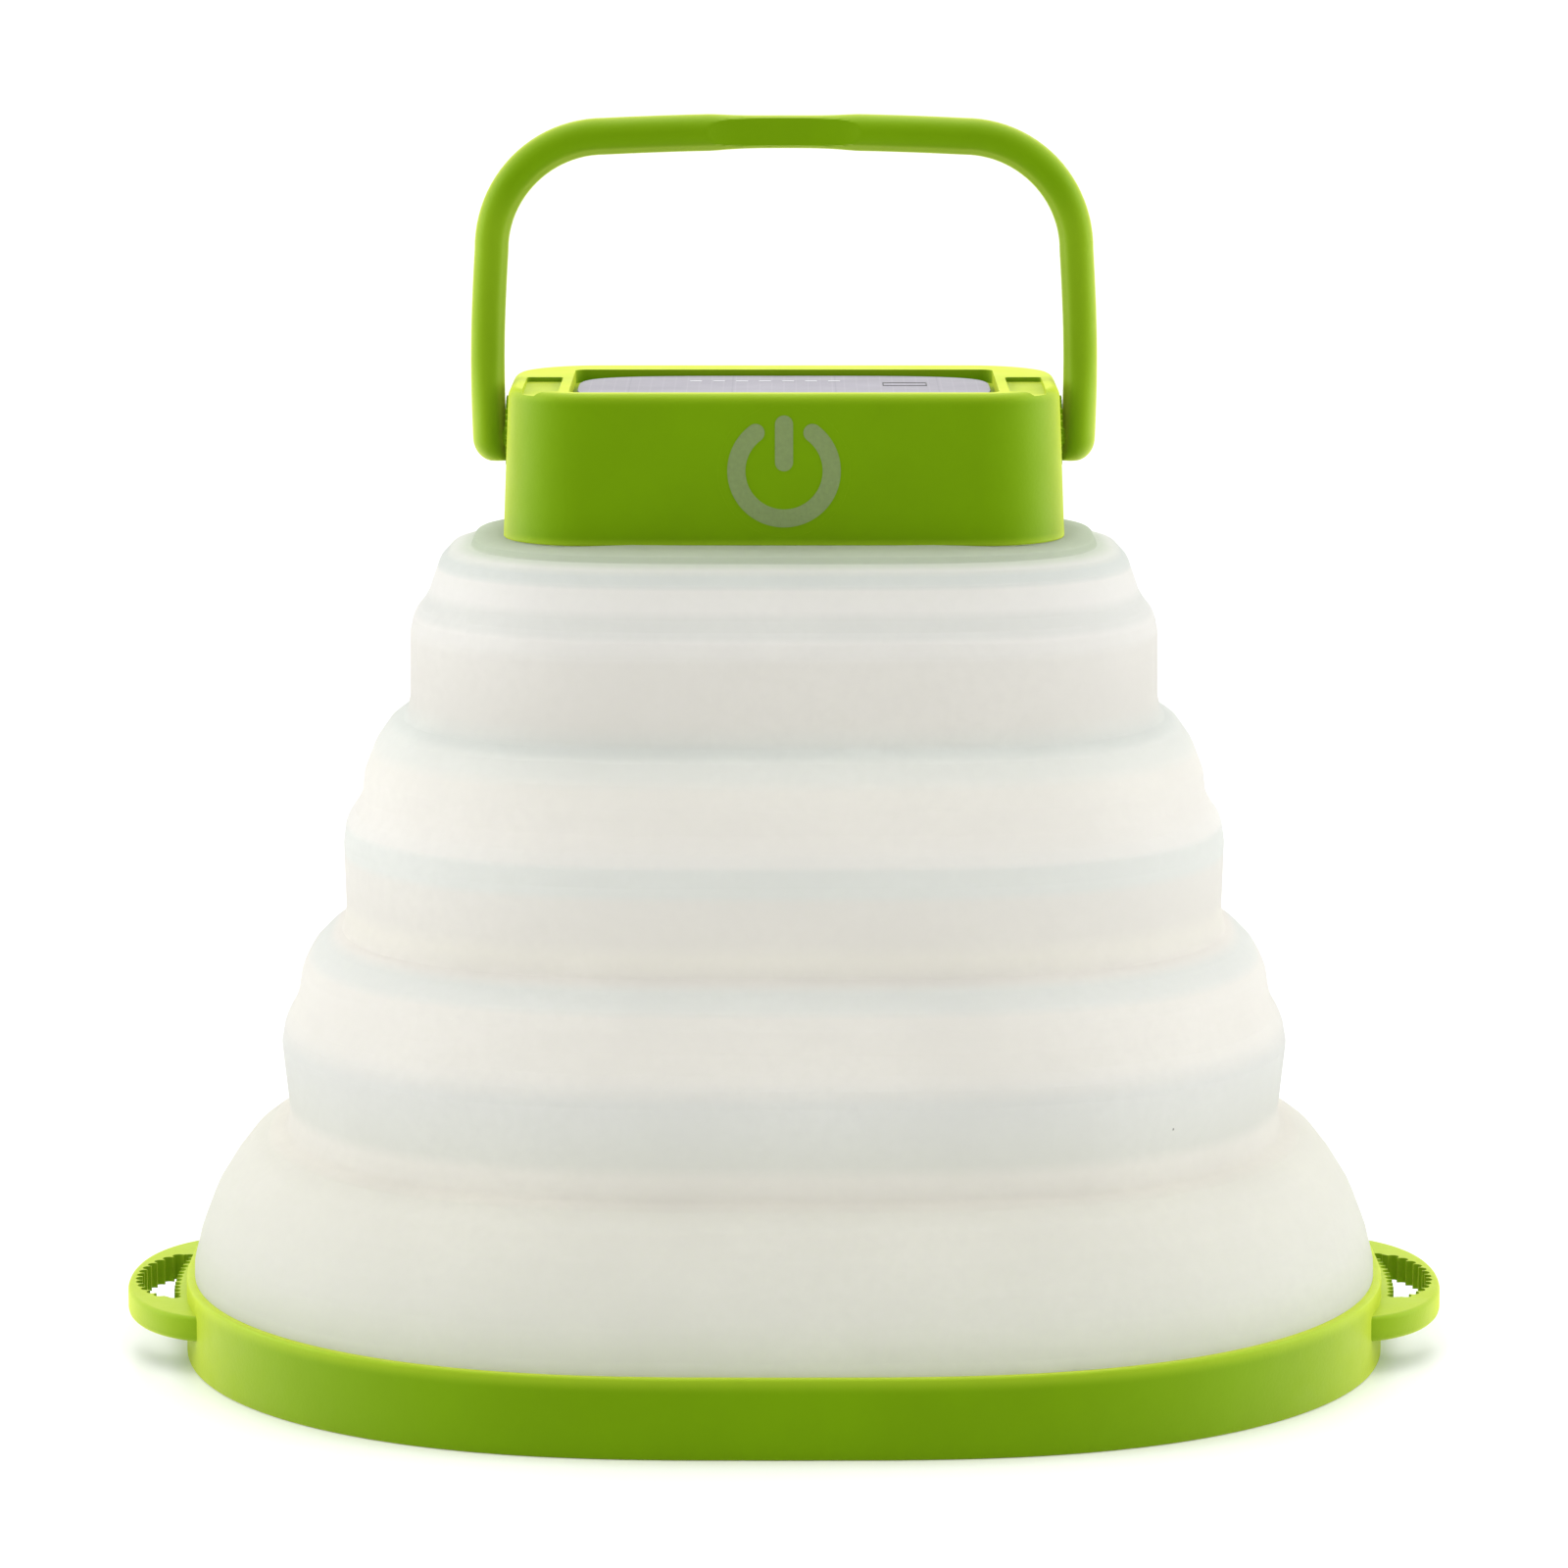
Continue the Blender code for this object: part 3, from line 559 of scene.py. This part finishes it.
# ---------------------------------------------------------------- silicone bellows
BELLOWS = [
    # piece, lower body, upper body, CAD nodes, blend's start and end height, outer line, standing line; mm
    # outer line: half width, height, corner radius; standing line: half width, height, from inside to tip
    ("bellows_tier_1", "base", "lower_band", ("bellows_foot", "bellows_web_1"), 12.3, 21.6, [
        (59.10, 2.60, 0.0), (59.10, 6.80, 0.5), (59.52, 7.80, 0.3), (59.50, 9.20, 1.5), (58.75, 12.30, 3.0),
        (57.60, 15.30, 4.0), (55.80, 18.20, 4.0), (54.00, 20.50, 2.5), (52.00, 21.95, 1.0),
        (50.00, 22.55, 0.4), (48.90, 22.70, 0.0)],
     []),
    ("bellows_tier_2", "lower_band", "middle_band", ("bellows_wall_lower", "bellows_web_2"), 31.8, 42.4, [
        (51.70, 22.10, 0.0), (50.00, 22.68, 1.4), (49.70, 24.60, 0.0), (49.90, 26.40, 6.0),
        (50.45, 31.60, 0.6), (50.15, 33.30, 0.5), (49.35, 34.70, 0.8), (48.70, 36.60, 1.2),
        (48.35, 38.80, 1.2), (47.50, 40.30, 1.5), (46.00, 41.80, 1.5), (44.40, 42.95, 0.4),
        (43.10, 43.30, 0.0)],
     [(48.25, 22.78), (48.90, 22.73), (50.00, 22.58)]),
    ("bellows_tier_3", "middle_band", "upper_band", ("bellows_wall_middle", "bellows_web_3"), 52.4, 64.2, [
        (45.10, 42.50, 0.0), (44.15, 43.10, 0.9), (43.85, 45.20, 0.0), (44.05, 51.80, 0.6),
        (43.80, 53.60, 0.4), (42.85, 55.00, 0.7), (42.15, 56.60, 1.0), (41.90, 58.80, 1.2),
        (41.00, 61.10, 2.0), (39.60, 63.10, 1.2), (37.90, 64.30, 0.4), (36.60, 64.60, 0.0)],
     [(42.40, 43.55), (43.10, 43.34), (44.40, 42.99)]),
    ("bellows_tier_4", "upper_band", "cap",
     ("bellows_wall_upper", "bellows_web_4", "bellows_collar"), 72.9, 80.0, [
        (39.10, 63.49, 0.0), (37.60, 64.55, 1.3), (37.25, 66.50, 0.0), (37.25, 68.00, 3.0),
        (37.20, 72.90, 1.2), (36.90, 74.30, 0.9), (36.05, 75.35, 0.3), (35.45, 76.40, 0.5),
        (34.85, 78.20, 0.8), (34.35, 79.60, 0.5), (33.20, 80.85, 0.5), (31.60, 81.30, 0.2),
        (31.10, 81.40, 0.1), (30.80, 82.05, 0.3), (29.00, 82.45, 0.5), (27.40, 82.75, 0.0)],
     [(35.80, 64.85), (36.60, 64.64), (37.90, 64.34)]),
]
SHELL = 1.45 * MM       # silicone thickness
FOOT_FADE = 0.0006      # height over which a wall's inner side closes on its standing line


def shell_profile(points, foot):
    """Close an outer line into a wall by adding the inner line and the line it stands on."""
    outer = round_corners(points)
    inner = []
    for i, (x, z) in enumerate(outer):
        ahead = outer[min(i + 1, len(outer) - 1)]
        back = outer[max(i - 1, 0)]
        along = Vector((ahead[0] - back[0], ahead[1] - back[1])).normalized()
        inner.append((x - along.y * SHELL, z + along.x * SHELL))
    inner[-1] = (outer[-1][0], outer[-1][1] - SHELL)
    if not foot:
        inner[0] = (outer[0][0] - SHELL, outer[0][1])
        return outer + inner[::-1]
    floor = foot[0][1] * MM + FOOT_FADE / 2
    raised = [point for point, edge in zip(inner, outer) if edge[1] > floor + FOOT_FADE and point[1] > floor]
    return outer + raised[::-1] + [(x * MM, z * MM) for x, z in foot]


def build_bellows():
    """Four silicone tiers: each is a wall and the web above it."""
    for name, lower, upper, nodes, start, end, line, foot in BELLOWS:
        profile = shell_profile(line, foot)
        heights = [z / MM for _, z in profile]
        finish = frosted_silicone(name.replace("tier", "silicone"), min(heights), max(heights))
        tier = loft_ring(name, profile, finish)
        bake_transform(tier)
        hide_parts(*nodes)


# ---------------------------------------------------------------- base ring and hanging loops
def ring_line():
    """Closed profile of the base ring, with soft outer edges and a thin raised rim."""
    top = RING_HIGH.z / MM
    corners = [
        (57.20, 0.00, 0.0), (59.90, 0.00, 0.0), (60.40, 0.00, 0.7), (60.40, 3.0, 0.0),
        (60.35, top, 0.85), (59.60, top, 0.0), (59.50, top, 0.05), (59.42, top - 0.3, 0.0),
        (59.42, 2.20, 0.0), (57.20, 2.20, 0.0),
    ]
    return round_corners(corners)


LOOP_CENTRE = 0.055     # where the loops' ovals are centred along X
LOOP_POWER = 2.2        # 2 is an ellipse, more is squarer
LOOP_BOW = 0.0006       # how far the ends of the cut-off line lean towards the lantern
TOOTH_PITCH = 0.00145
TOOTH_RADIUS = 0.00066
TALL = 0.01             # height of the cutters, well above the loops


def loop_outline(half_x, half_y, start):
    """Points of a half oval cut off by a slightly bowed line."""
    points = []
    steps = 400
    for k in range(steps + 1):
        angle = -math.pi / 2 + math.pi * k / steps
        cos_a = math.cos(angle)
        sin_a = math.sin(angle)
        x = LOOP_CENTRE + half_x * abs(cos_a) ** (2 / LOOP_POWER)
        y = math.copysign(half_y * abs(sin_a) ** (2 / LOOP_POWER), sin_a)
        if x > start:
            points.append(Vector((x, y)))
    top = points[-1].y
    bottom = points[0].y
    straight = max(2, int((top - bottom) / 0.0002))
    for k in range(1, straight):
        t = k / straight
        y = top + (bottom - top) * t
        points.append(Vector((start - LOOP_BOW * (y / top) ** 2, y)))
    return points


def flute_builders(outline):
    """Upright rods spaced along a closed outline, for cutting its teeth, as a list of bmeshes."""
    rods = []
    travelled = 0.0
    for i, point in enumerate(outline):
        travelled += (point - outline[i - 1]).length
        if travelled >= TOOTH_PITCH:
            travelled -= TOOTH_PITCH
            rods.append(cylinder_builder((point.x, point.y, TALL / 2), TOOTH_RADIUS, TALL, "Z", 12))
    return rods


def extrude(corners, offset):
    """Solid swept from a flat outline of corners along an offset, as a bmesh with faces pointing out."""
    builder = bmesh.new()
    face = builder.faces.new([builder.verts.new(corner) for corner in corners])
    made = bmesh.ops.extrude_face_region(builder, geom=[face])
    raised = [v for v in made["geom"] if isinstance(v, bmesh.types.BMVert)]
    bmesh.ops.translate(builder, verts=raised, vec=offset)
    bmesh.ops.recalc_face_normals(builder, faces=builder.faces)
    return builder


def prism(points, low, high):
    """Upright prism over a closed outline, as a bmesh."""
    return extrude([(p.x, p.y, low) for p in points], (0, 0, high - low))


def plan_prism(half_width, low, high):
    """Upright prism over the plan outline."""
    outline = [Vector(plan_point(half_width, math.tau * k / STEPS)) for k in range(STEPS)]
    return prism(outline, low, high)


def build_base():
    """Green ring with its rim, and the two toothed hanging loops."""
    ring = loft_ring("base_band", ring_line(), MATERIALS["ring"], steps=STEPS + 40)
    place(ring, "base", "lime_plastic", "base_ring")
    half_x = RING_HIGH.x - 0.0004 - LOOP_CENTRE
    half_y = 0.0175
    strip = 0.0013
    slot_half_y = 0.0112
    slot_start = 0.0618
    low = 0.0033
    high = 0.0059
    for side, suffix in ((1, "right"), (-1, "left")):
        body = prism(loop_outline(half_x, half_y, LOOP_CENTRE), low, high)
        for height in (low, high):
            round_rim(body, height, 0.00045, 3)
        loop = from_bmesh(f"hanging_loop_{suffix}", body, MATERIALS["loop"])
        slot = loop_outline(half_x - strip, slot_half_y, slot_start)
        cut_all(loop, [plan_prism(RING_HALF - 0.0006, 0.0, TALL), prism(slot, 0.0, TALL)])
        cut_all(loop, flute_builders(slot))
        if side < 0:
            loop.data.transform(Matrix.Rotation(math.pi, 4, "Z"))
        weigh_normals(loop)
        place(loop, "base", "lime_plastic")


def build_floor_pan():
    """Floor plate with its edge at the frame's height and its middle sunk to clear the folded tiers."""
    low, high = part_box("base_plate")
    pan_half = 0.0535
    sunk = 0.0001
    sheet = 0.0003
    pan = from_bmesh("base_pan", plan_prism(pan_half, sunk, high.z), MATERIALS["white"])
    cut_all(pan, [plan_prism(high.x, low.z, high.z)], "UNION")
    cutters = [plan_prism(pan_half - sheet, sunk + sheet, high.z + 0.001)]
    for i in range(1, 7):
        screw_low, screw_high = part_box(f"base_screw_{i}")
        cutters.append(cylinder_builder((screw_low + screw_high) / 2, 0.0010, 0.010, "Z", 24))
    cut_all(pan, cutters)
    weigh_normals(pan)
    place(pan, "base", "white_plastic", "base_plate")


# ---------------------------------------------------------------- cap
DRAFT = 0.00060         # how far each end of the cap leans in over its height
POCKET = ((-0.0210, -0.0130), (0.0210, 0.0093))     # solar panel pocket in the cap's top
PIVOT_HOLE = 0.00175    # radius of the handle's pivot holes
POSTS = [(x, y) for x in (0.0219, -0.0219) for y in (0.0092, -0.0092)]


def build_cap():
    """Cap moulding with its panel pocket, end recesses, key hole, pivot holes and port pocket."""
    half_x = CAP_HIGH.x
    half_y = CAP_HIGH.y
    low = CAP_LOW.z
    high = CAP_HIGH.z
    body = box_builder((-half_x, -half_y, low), (half_x, half_y, high), 0.0085, steps=16)
    round_rim(body, high, 0.0010, 5)
    round_rim(body, low, 0.00018, 3)
    for vertex in body.verts:
        pull = DRAFT * (vertex.co.z - low) / (high - low)
        vertex.co.x -= math.copysign(pull, vertex.co.x)
    cap = from_bmesh("cap_moulding", body, MATERIALS["cap"])
    wall = 0.0016
    roof = 0.0022
    past = 0.002
    key_hole = KEY_HIGH.x + 0.000002
    key_z = (KEY_LOW.z + KEY_HIGH.z) / 2
    inside_low = (-half_x + wall, -half_y + wall, low - past)
    inside_high = (half_x - wall, half_y - wall, high - roof)
    cutters = [
        box_builder(inside_low, inside_high, 0.0069, 12),
        box_builder((*POCKET[0], PANEL_LOW.z - 0.0002), (*POCKET[1], high + past), 0.0011, 6),
        cylinder_builder((0, -half_y, key_z), key_hole, 0.006, "Y", 160),
        *port_cutters(half_y, past),
    ]
    recess_x = 0.0238
    recess_half = 0.0018
    recess_depth = 0.00045
    for side in (1, -1):
        recess_low = (side * recess_x - recess_half, -0.0122, high - recess_depth)
        recess_high = (side * recess_x + recess_half, 0.0016, high + past)
        cutters.append(box_builder(recess_low, recess_high, 0.0004, 4))
        cutters.append(pivot_cutter(side))
    cut_all(cap, cutters)
    weigh_normals(cap)
    place(cap, "cap", "lime_plastic", "cap_shell")
    build_posts(high)
    for side, suffix in ((1, "right"), (-1, "left")):
        build_detent(side, suffix)


def port_cutters(back, past):
    """Two boxes that cut the flap's shallow seat and the deeper port hole into the cap's back."""
    gap = 0.00025
    seat_low = (COVER_LOW.x - gap, back - 0.0009, COVER_LOW.z - gap)
    seat_high = (COVER_HIGH.x + gap, back + past, COVER_HIGH.z + gap)
    hole_low = (COVER_LOW.x + 0.0003, back - 0.004, COVER_LOW.z + 0.0009)
    hole_high = (COVER_HIGH.x - 0.0003, back + past, COVER_HIGH.z - 0.0006)
    seat = box_builder(seat_low, seat_high, 0.0006, 4, axis=1)
    hole = box_builder(hole_low, hole_high, 0.0004, 4, axis=1)
    return [seat, hole]


def pivot_cutter(side):
    """Rod that cuts the handle's pivot hole on one side of the cap."""
    return cylinder_builder((side * CAP_HIGH.x, 0, PIVOT.z), PIVOT_HOLE, 0.008, "X", 40)


def build_posts(high):
    """Four hollow screw posts inside the cap."""
    radius = 0.0022
    bore_radius = 0.00115
    middle_z = high - 0.0072
    bore_z = 0.0875
    posts = [cylinder_builder((x, y, middle_z), radius, 0.0108, "Z", 32) for x, y in POSTS]
    item = from_bmesh("screw_posts", join_builders(posts), MATERIALS["cap"])
    cut_all(item, [cylinder_builder((x, y, bore_z), bore_radius, 0.0080, "Z", 24) for x, y in POSTS])
    place(item, "cap", "lime_plastic")


def build_detent(side, suffix):
    """Toothed disc on the cap's side that the handle's eye clicks round."""
    teeth = 34
    steps = 6
    root_radius = 0.0037
    tooth_height = 0.00035
    thickness = 0.00028
    sunk = 0.00040
    points = []
    for k in range(teeth * steps):
        angle = math.tau * k / (teeth * steps)
        wave = 2 * abs((k / steps) % 1.0 - 0.5)
        radius = root_radius + tooth_height * min(1.0, max(0.0, 1.7 * wave - 0.35))
        points.append(Vector((radius * math.cos(angle), radius * math.sin(angle))))
    item = from_bmesh(f"detent_disc_{suffix}", prism(points, 0.0, thickness), MATERIALS["cap"])
    seat = Matrix.Translation((side * (CAP_HIGH.x - sunk), 0, PIVOT.z))
    item.data.transform(seat @ Matrix.Rotation(side * math.pi / 2, 4, "Y"))
    cut_all(item, [pivot_cutter(side)])
    place(item, "cap", "lime_plastic")


def build_panel():
    """Laminated panel with bowed ends and softened edges, and its printed marks."""
    middle = (PANEL_LOW + PANEL_HIGH) / 2
    half = (PANEL_HIGH - PANEL_LOW) / 2
    outline = []
    steps = 160
    for k in range(steps):
        angle = math.tau * k / steps
        cos_a = math.cos(angle)
        sin_a = math.sin(angle)
        x = math.copysign(abs(cos_a) ** 0.5, cos_a) * half.x
        y = math.copysign(abs(sin_a) ** 0.5, sin_a) * half.y
        outline.append(Vector((middle.x + x, middle.y + y)))
    body = prism(outline, PANEL_LOW.z, PANEL_HIGH.z)
    round_rim(body, PANEL_HIGH.z, 0.00010, 2)
    panel = from_bmesh("solar_laminate_sheet", body, MATERIALS["panel"])
    weigh_normals(panel)
    place(panel, "cap", "solar_laminate", "solar_panel")
    build_panel_marks(PANEL_HIGH.z)


def build_panel_marks(top):
    """A row of pale ticks and an empty dark frame printed on the panel."""
    sunk = top - 0.00005
    first_x = -0.0088
    pitch = 0.0023
    half_length = 0.0006
    ticks = []
    for k in range(7):
        x = first_x + pitch * k
        low = (x - half_length, 0.0032, sunk)
        high = (x + half_length, 0.0039, top + 0.00004)
        ticks.append(box_builder(low, high, 0.0002, 3))
    marks = from_bmesh("panel_ticks", join_builders(ticks), MATERIALS["marks"])
    place(marks, "cap", "solar_laminate")

    x0, x1, y0, y1 = 0.0098, 0.0142, -0.0010, 0.0022
    side_line = 0.00012
    long_line = 0.00048
    past = 0.001
    sheet = box_builder((x0, y0, sunk), (x1, y1, top + 0.00003), 0.0)
    mark = from_bmesh("panel_outline", sheet, MATERIALS["dark"])
    inner_low = (x0 + side_line, y0 + long_line, top - past)
    inner_high = (x1 - side_line, y1 - long_line, top + past)
    cut_all(mark, [box_builder(inner_low, inner_high, 0.0)])
    place(mark, "cap", "solar_laminate")


def stroke(points, half_width, low, high):
    """Flat stroke with round ends along a line in X and Z, standing out of the front, as a bmesh."""
    left = []
    right = []
    count = len(points)
    for i, point in enumerate(points):
        along = (points[min(i + 1, count - 1)] - points[max(i - 1, 0)]).normalized()
        normal = Vector((-along.y, along.x))
        left.append(point + normal * half_width)
        right.append(point - normal * half_width)

    def end_cap(centre, from_point):
        """Half circle round one end of the line."""
        start = from_point - centre
        first = math.atan2(start.y, start.x)
        angles = [first - math.pi * k / 12 for k in range(1, 12)]
        return [centre + half_width * Vector((math.cos(angle), math.sin(angle))) for angle in angles]

    outline = left + end_cap(points[-1], left[-1]) + right[::-1] + end_cap(points[0], right[0])
    return extrude([(p.x, low, p.y) for p in outline], (0, high - low, 0))


def build_key():
    """Round key flush with the front, and the printed power symbol on it."""
    face_y = KEY_LOW.y
    centre = Vector((0.0, (KEY_LOW.z + KEY_HIGH.z) / 2))
    thickness = 0.0012
    disc = cylinder_builder((0, face_y + thickness / 2, centre.y), KEY_HIGH.x, thickness, "Y", 160)
    stem = cylinder_builder((0, face_y + thickness, centre.y), 0.0015, 0.0004, "Y", 32)
    key = from_bmesh("power_key", join_builders([disc, stem]), MATERIALS["cap"])
    weigh_normals(key)
    place(key, "power_button", "key_rubber", "power_button")

    arc_radius = 0.00464
    half_stroke = 0.00088
    half_opening = math.radians(36.5)
    arc = []
    for k in range(81):
        angle = math.pi / 2 + half_opening + (math.tau - 2 * half_opening) * k / 80
        arc.append(centre + arc_radius * Vector((math.cos(angle), math.sin(angle))))
    bar_top = 0.00455
    bar_length = 0.0037
    bar = [centre + Vector((0, bar_top - bar_length * k / 8)) for k in range(9)]
    proud = face_y - 0.00004
    sunk = face_y + 0.00006
    icon = join_builders([stroke(line, half_stroke, proud, sunk) for line in (arc, bar)])
    symbol = from_bmesh("power_symbol", icon, MATERIALS["ink"])
    place(symbol, "power_button", "key_rubber")


def build_cover():
    """Rubber flap over the charging port, with a finger ridge."""
    body = box_builder(COVER_LOW, COVER_HIGH, 0.0007, 5, axis=1)
    bmesh.ops.recalc_face_normals(body, faces=body.faces)
    round_rim(body, COVER_HIGH.y, 0.00015, 3, axis=1)
    middle = (COVER_LOW.x + COVER_HIGH.x) / 2
    half_length = 0.0020
    ridge_low = COVER_HIGH.z - 0.0012
    ridge = box_builder(
        (middle - half_length, COVER_HIGH.y - 0.0001, ridge_low),
        (middle + half_length, COVER_HIGH.y + 0.00035, ridge_low + 0.0005), 0.0002, 3, axis=0,
    )
    flap = from_bmesh("port_flap", join_builders([body, ridge]), MATERIALS["rubber"])
    weigh_normals(flap)
    place(flap, "usb_cover", "key_rubber", "usb_cover")


# ---------------------------------------------------------------- handle
ARM_HALF = 0.00168      # half thickness of the arms, seen from the front
BAR_HALF = 0.00182      # half thickness of the top bar
EYE_RADIUS = 0.0025
GRIP_HALF = 0.0076      # half length of the scooped grip
SCOOP = 0.00095         # half depth left at the middle of the grip
GRIP_SQUEEZE = 0.00020  # how much thinner the grip's middle looks from the front
TIP_RISE = 0.0024       # height over which an arm's tip rounds off
TIP_CUT = 0.62          # share of an arm's half thickness that its tip loses
BEVEL_START = 0.60      # how far towards the inner side the bevel begins, as a share of the half thickness
BEVEL_WIDTH = 0.80      # share of the half depth left where the bevel begins
BEVEL_SLOPE = 1.45


def smooth_step(value, low, high):
    """Rise smoothly from 0 at low to 1 at high."""
    t = min(1.0, max(0.0, (value - low) / (high - low)))
    return t * t * (3 - 2 * t)


def handle_line():
    """Centre line of the handle in X and Z, from one arm's tip over the top to the other."""
    top = HANDLE_HIGH.z - BAR_HALF
    foot_x = HANDLE_HIGH.x - ARM_HALF - 0.00015
    lean = 0.00020
    bow = 0.00035
    crown = 0.00045
    corner = 0.0112
    shoulder_x = foot_x - lean - corner
    arm_top = top - crown - corner
    tip = PIVOT.z - EYE_RADIUS
    line = []
    for k in range(49):
        t = (k / 48) ** 1.6
        line.append(Vector((foot_x - lean * t + bow * math.sin(math.pi * t), tip + (arm_top - tip) * t)))
    for k in range(1, 25):
        angle = math.pi / 2 * k / 24
        line.append(Vector((shoulder_x + corner * math.cos(angle), arm_top + corner * math.sin(angle))))
    for k in range(1, 81):
        x = shoulder_x * (1 - k / 80)
        line.append(Vector((x, top - crown * (x / shoulder_x) ** 2)))
    return line + [Vector((-p.x, p.y)) for p in reversed(line[:-1])], arm_top, corner


def handle_section(point, arm_top, corner):
    """Half size in the handle's plane, half size across it, scoop limit and inward shift at a point."""
    rod = smooth_step(point.y, arm_top, arm_top + corner)
    plane = ARM_HALF + (BAR_HALF - ARM_HALF) * rod
    across = EYE_RADIUS + (plane - EYE_RADIUS) * smooth_step(point.y, PIVOT.z + 0.001, PIVOT.z + 0.009)
    drop = PIVOT.z - point.y
    if drop > 0:
        across = math.sqrt(max(EYE_RADIUS ** 2 - drop ** 2, 0.0003 ** 2))
    limit = across
    if point.y > arm_top and abs(point.x) < GRIP_HALF:
        t = (point.x / GRIP_HALF) ** 4
        limit = SCOOP + (across - SCOOP) * t
        plane -= GRIP_SQUEEZE * (1 - t) ** 2
    shift = 0.0
    rise = (point.y - (PIVOT.z - EYE_RADIUS)) / TIP_RISE
    if rise < 1:
        cut = TIP_CUT * (1 - math.sqrt(max(0.0, 1 - (1 - rise) ** 2)))
        shift = plane * cut
        plane *= 1 - cut
    return plane, across, limit, shift


def build_handle():
    """Bail handle: a rod with a bevelled inner side, round eyes at the pivots and a scooped grip."""
    sides = 48
    line, arm_top, corner = handle_line()
    verts = []
    for i, point in enumerate(line):
        along = (line[min(i + 1, len(line) - 1)] - line[max(i - 1, 0)]).normalized()
        out = Vector((along.y, -along.x))
        plane, across, limit, shift = handle_section(point, arm_top, corner)
        for k in range(sides):
            angle = math.tau * k / sides
            n = math.cos(angle)
            y = math.sin(angle)
            if n < -BEVEL_START:
                y = math.copysign(min(abs(y), BEVEL_WIDTH - (-BEVEL_START - n) * BEVEL_SLOPE), y)
            y = max(-limit, min(limit, y * across))
            spot = point + out * (n * plane - shift)
            verts.append((spot.x, y, spot.y))
    faces = []
    for i in range(len(line) - 1):
        for k in range(sides):
            a = i * sides + k
            b = i * sides + (k + 1) % sides
            faces.append((a, b, b + sides, a + sides))
    faces.append(tuple(range(sides)))
    last = (len(line) - 1) * sides
    faces.append(tuple(range(last + sides - 1, last - 1, -1)))
    stubs = [cylinder_builder((side * 0.0271, 0, PIVOT.z), 0.0014, 0.0034, "X", 32) for side in (1, -1)]
    rod = face_builder(verts, faces)
    handle = from_bmesh("bail_handle", join_builders([rod, *stubs]), MATERIALS["handle"], 24.0)
    place(handle, "handle", "lime_plastic", "handle")


# ---------------------------------------------------------------- floor, light and camera
FOCAL_PIXELS = 6265.0   # focal length in pixels of a picture 1600 wide
SENSOR = 36.0
CAMERA_TILT = 9.565     # degrees below level
SOFTBOXES = [
    # name, place, size, watts
    ("left_softbox", (-0.75, 0.00, 0.28), 0.6, 2.8),
    ("right_softbox", (0.75, 0.00, 0.28), 0.6, 2.8),
    ("top_softbox", (0.0, 0.10, 0.95), 0.8, 2.5),
]


def build_floor():
    """Pale floor."""
    builder = bmesh.new()
    bmesh.ops.create_grid(builder, x_segments=1, y_segments=1, size=6.0)
    white = Shader("floor", (0.93, 0.93, 0.92), 0.35, Specular_IOR_Level=0.35)
    white.roughness(white.fit(white.noise(0.05, 3.0), 0.3, 0.7, 0.30, 0.40))
    floor = from_bmesh("floor", builder, white.material)


def build_world():
    """Soft white surroundings, dimmer in front of the lantern and brighter behind and above it."""
    world = bpy.data.worlds.new("studio")
    bpy.context.scene.world = world
    world.use_nodes = True
    nodes = world.node_tree.nodes
    links = world.node_tree.links
    direction = nodes.new("ShaderNodeTexCoord").outputs["Generated"]
    split = nodes.new("ShaderNodeSeparateXYZ")
    links.new(direction, split.inputs[0])
    front_to_back = nodes.new("ShaderNodeMapRange")
    front_to_back.interpolation_type = "SMOOTHSTEP"
    links.new(split.outputs["Y"], front_to_back.inputs["Value"])
    for key, number in zip(("From Min", "From Max", "To Min", "To Max"), (-1.0, 0.35, 0.34, 1.02)):
        front_to_back.inputs[key].default_value = number
    overhead = nodes.new("ShaderNodeMath")
    overhead.operation = "MULTIPLY_ADD"
    links.new(split.outputs["Z"], overhead.inputs[0])
    overhead.inputs[1].default_value = 0.50
    links.new(front_to_back.outputs["Result"], overhead.inputs[2])
    links.new(overhead.outputs[0], nodes["Background"].inputs["Strength"])
    nodes["Background"].inputs["Color"].default_value = (1.0, 1.0, 1.0, 1.0)


def build_softboxes():
    """Soft lights from both sides and from above, aimed at the middle of the shade."""
    aim = Vector((0, 0, 0.05))
    for name, place_at, size, power in SOFTBOXES:
        light = bpy.data.lights.new(name, "AREA")
        light.energy = power
        light.size = size
        item = bpy.data.objects.new(name, light)
        item.location = place_at
        item.rotation_euler = (aim - Vector(place_at)).to_track_quat("-Z", "Y").to_euler()
        LINK(item)


def build_camera():
    """Camera in front of the lantern and a little above it."""
    camera = bpy.data.cameras.new("camera")
    camera.sensor_width = SENSOR
    camera.lens = SENSOR * FOCAL_PIXELS / 1600.0
    camera.clip_start = 0.01
    item = bpy.data.objects.new("camera", camera)
    item.location = (0.0, -0.6085, 0.1592)
    item.rotation_euler = (math.radians(90.0 - CAMERA_TILT), 0.0, 0.0)
    LINK(item)
    bpy.context.scene.camera = item
    bpy.context.scene.view_settings.view_transform = "Standard"


build_bellows()
build_base()
build_floor_pan()
build_cap()
build_panel()
build_key()
build_cover()
build_handle()
build_floor()
build_world()
build_softboxes()
build_camera()
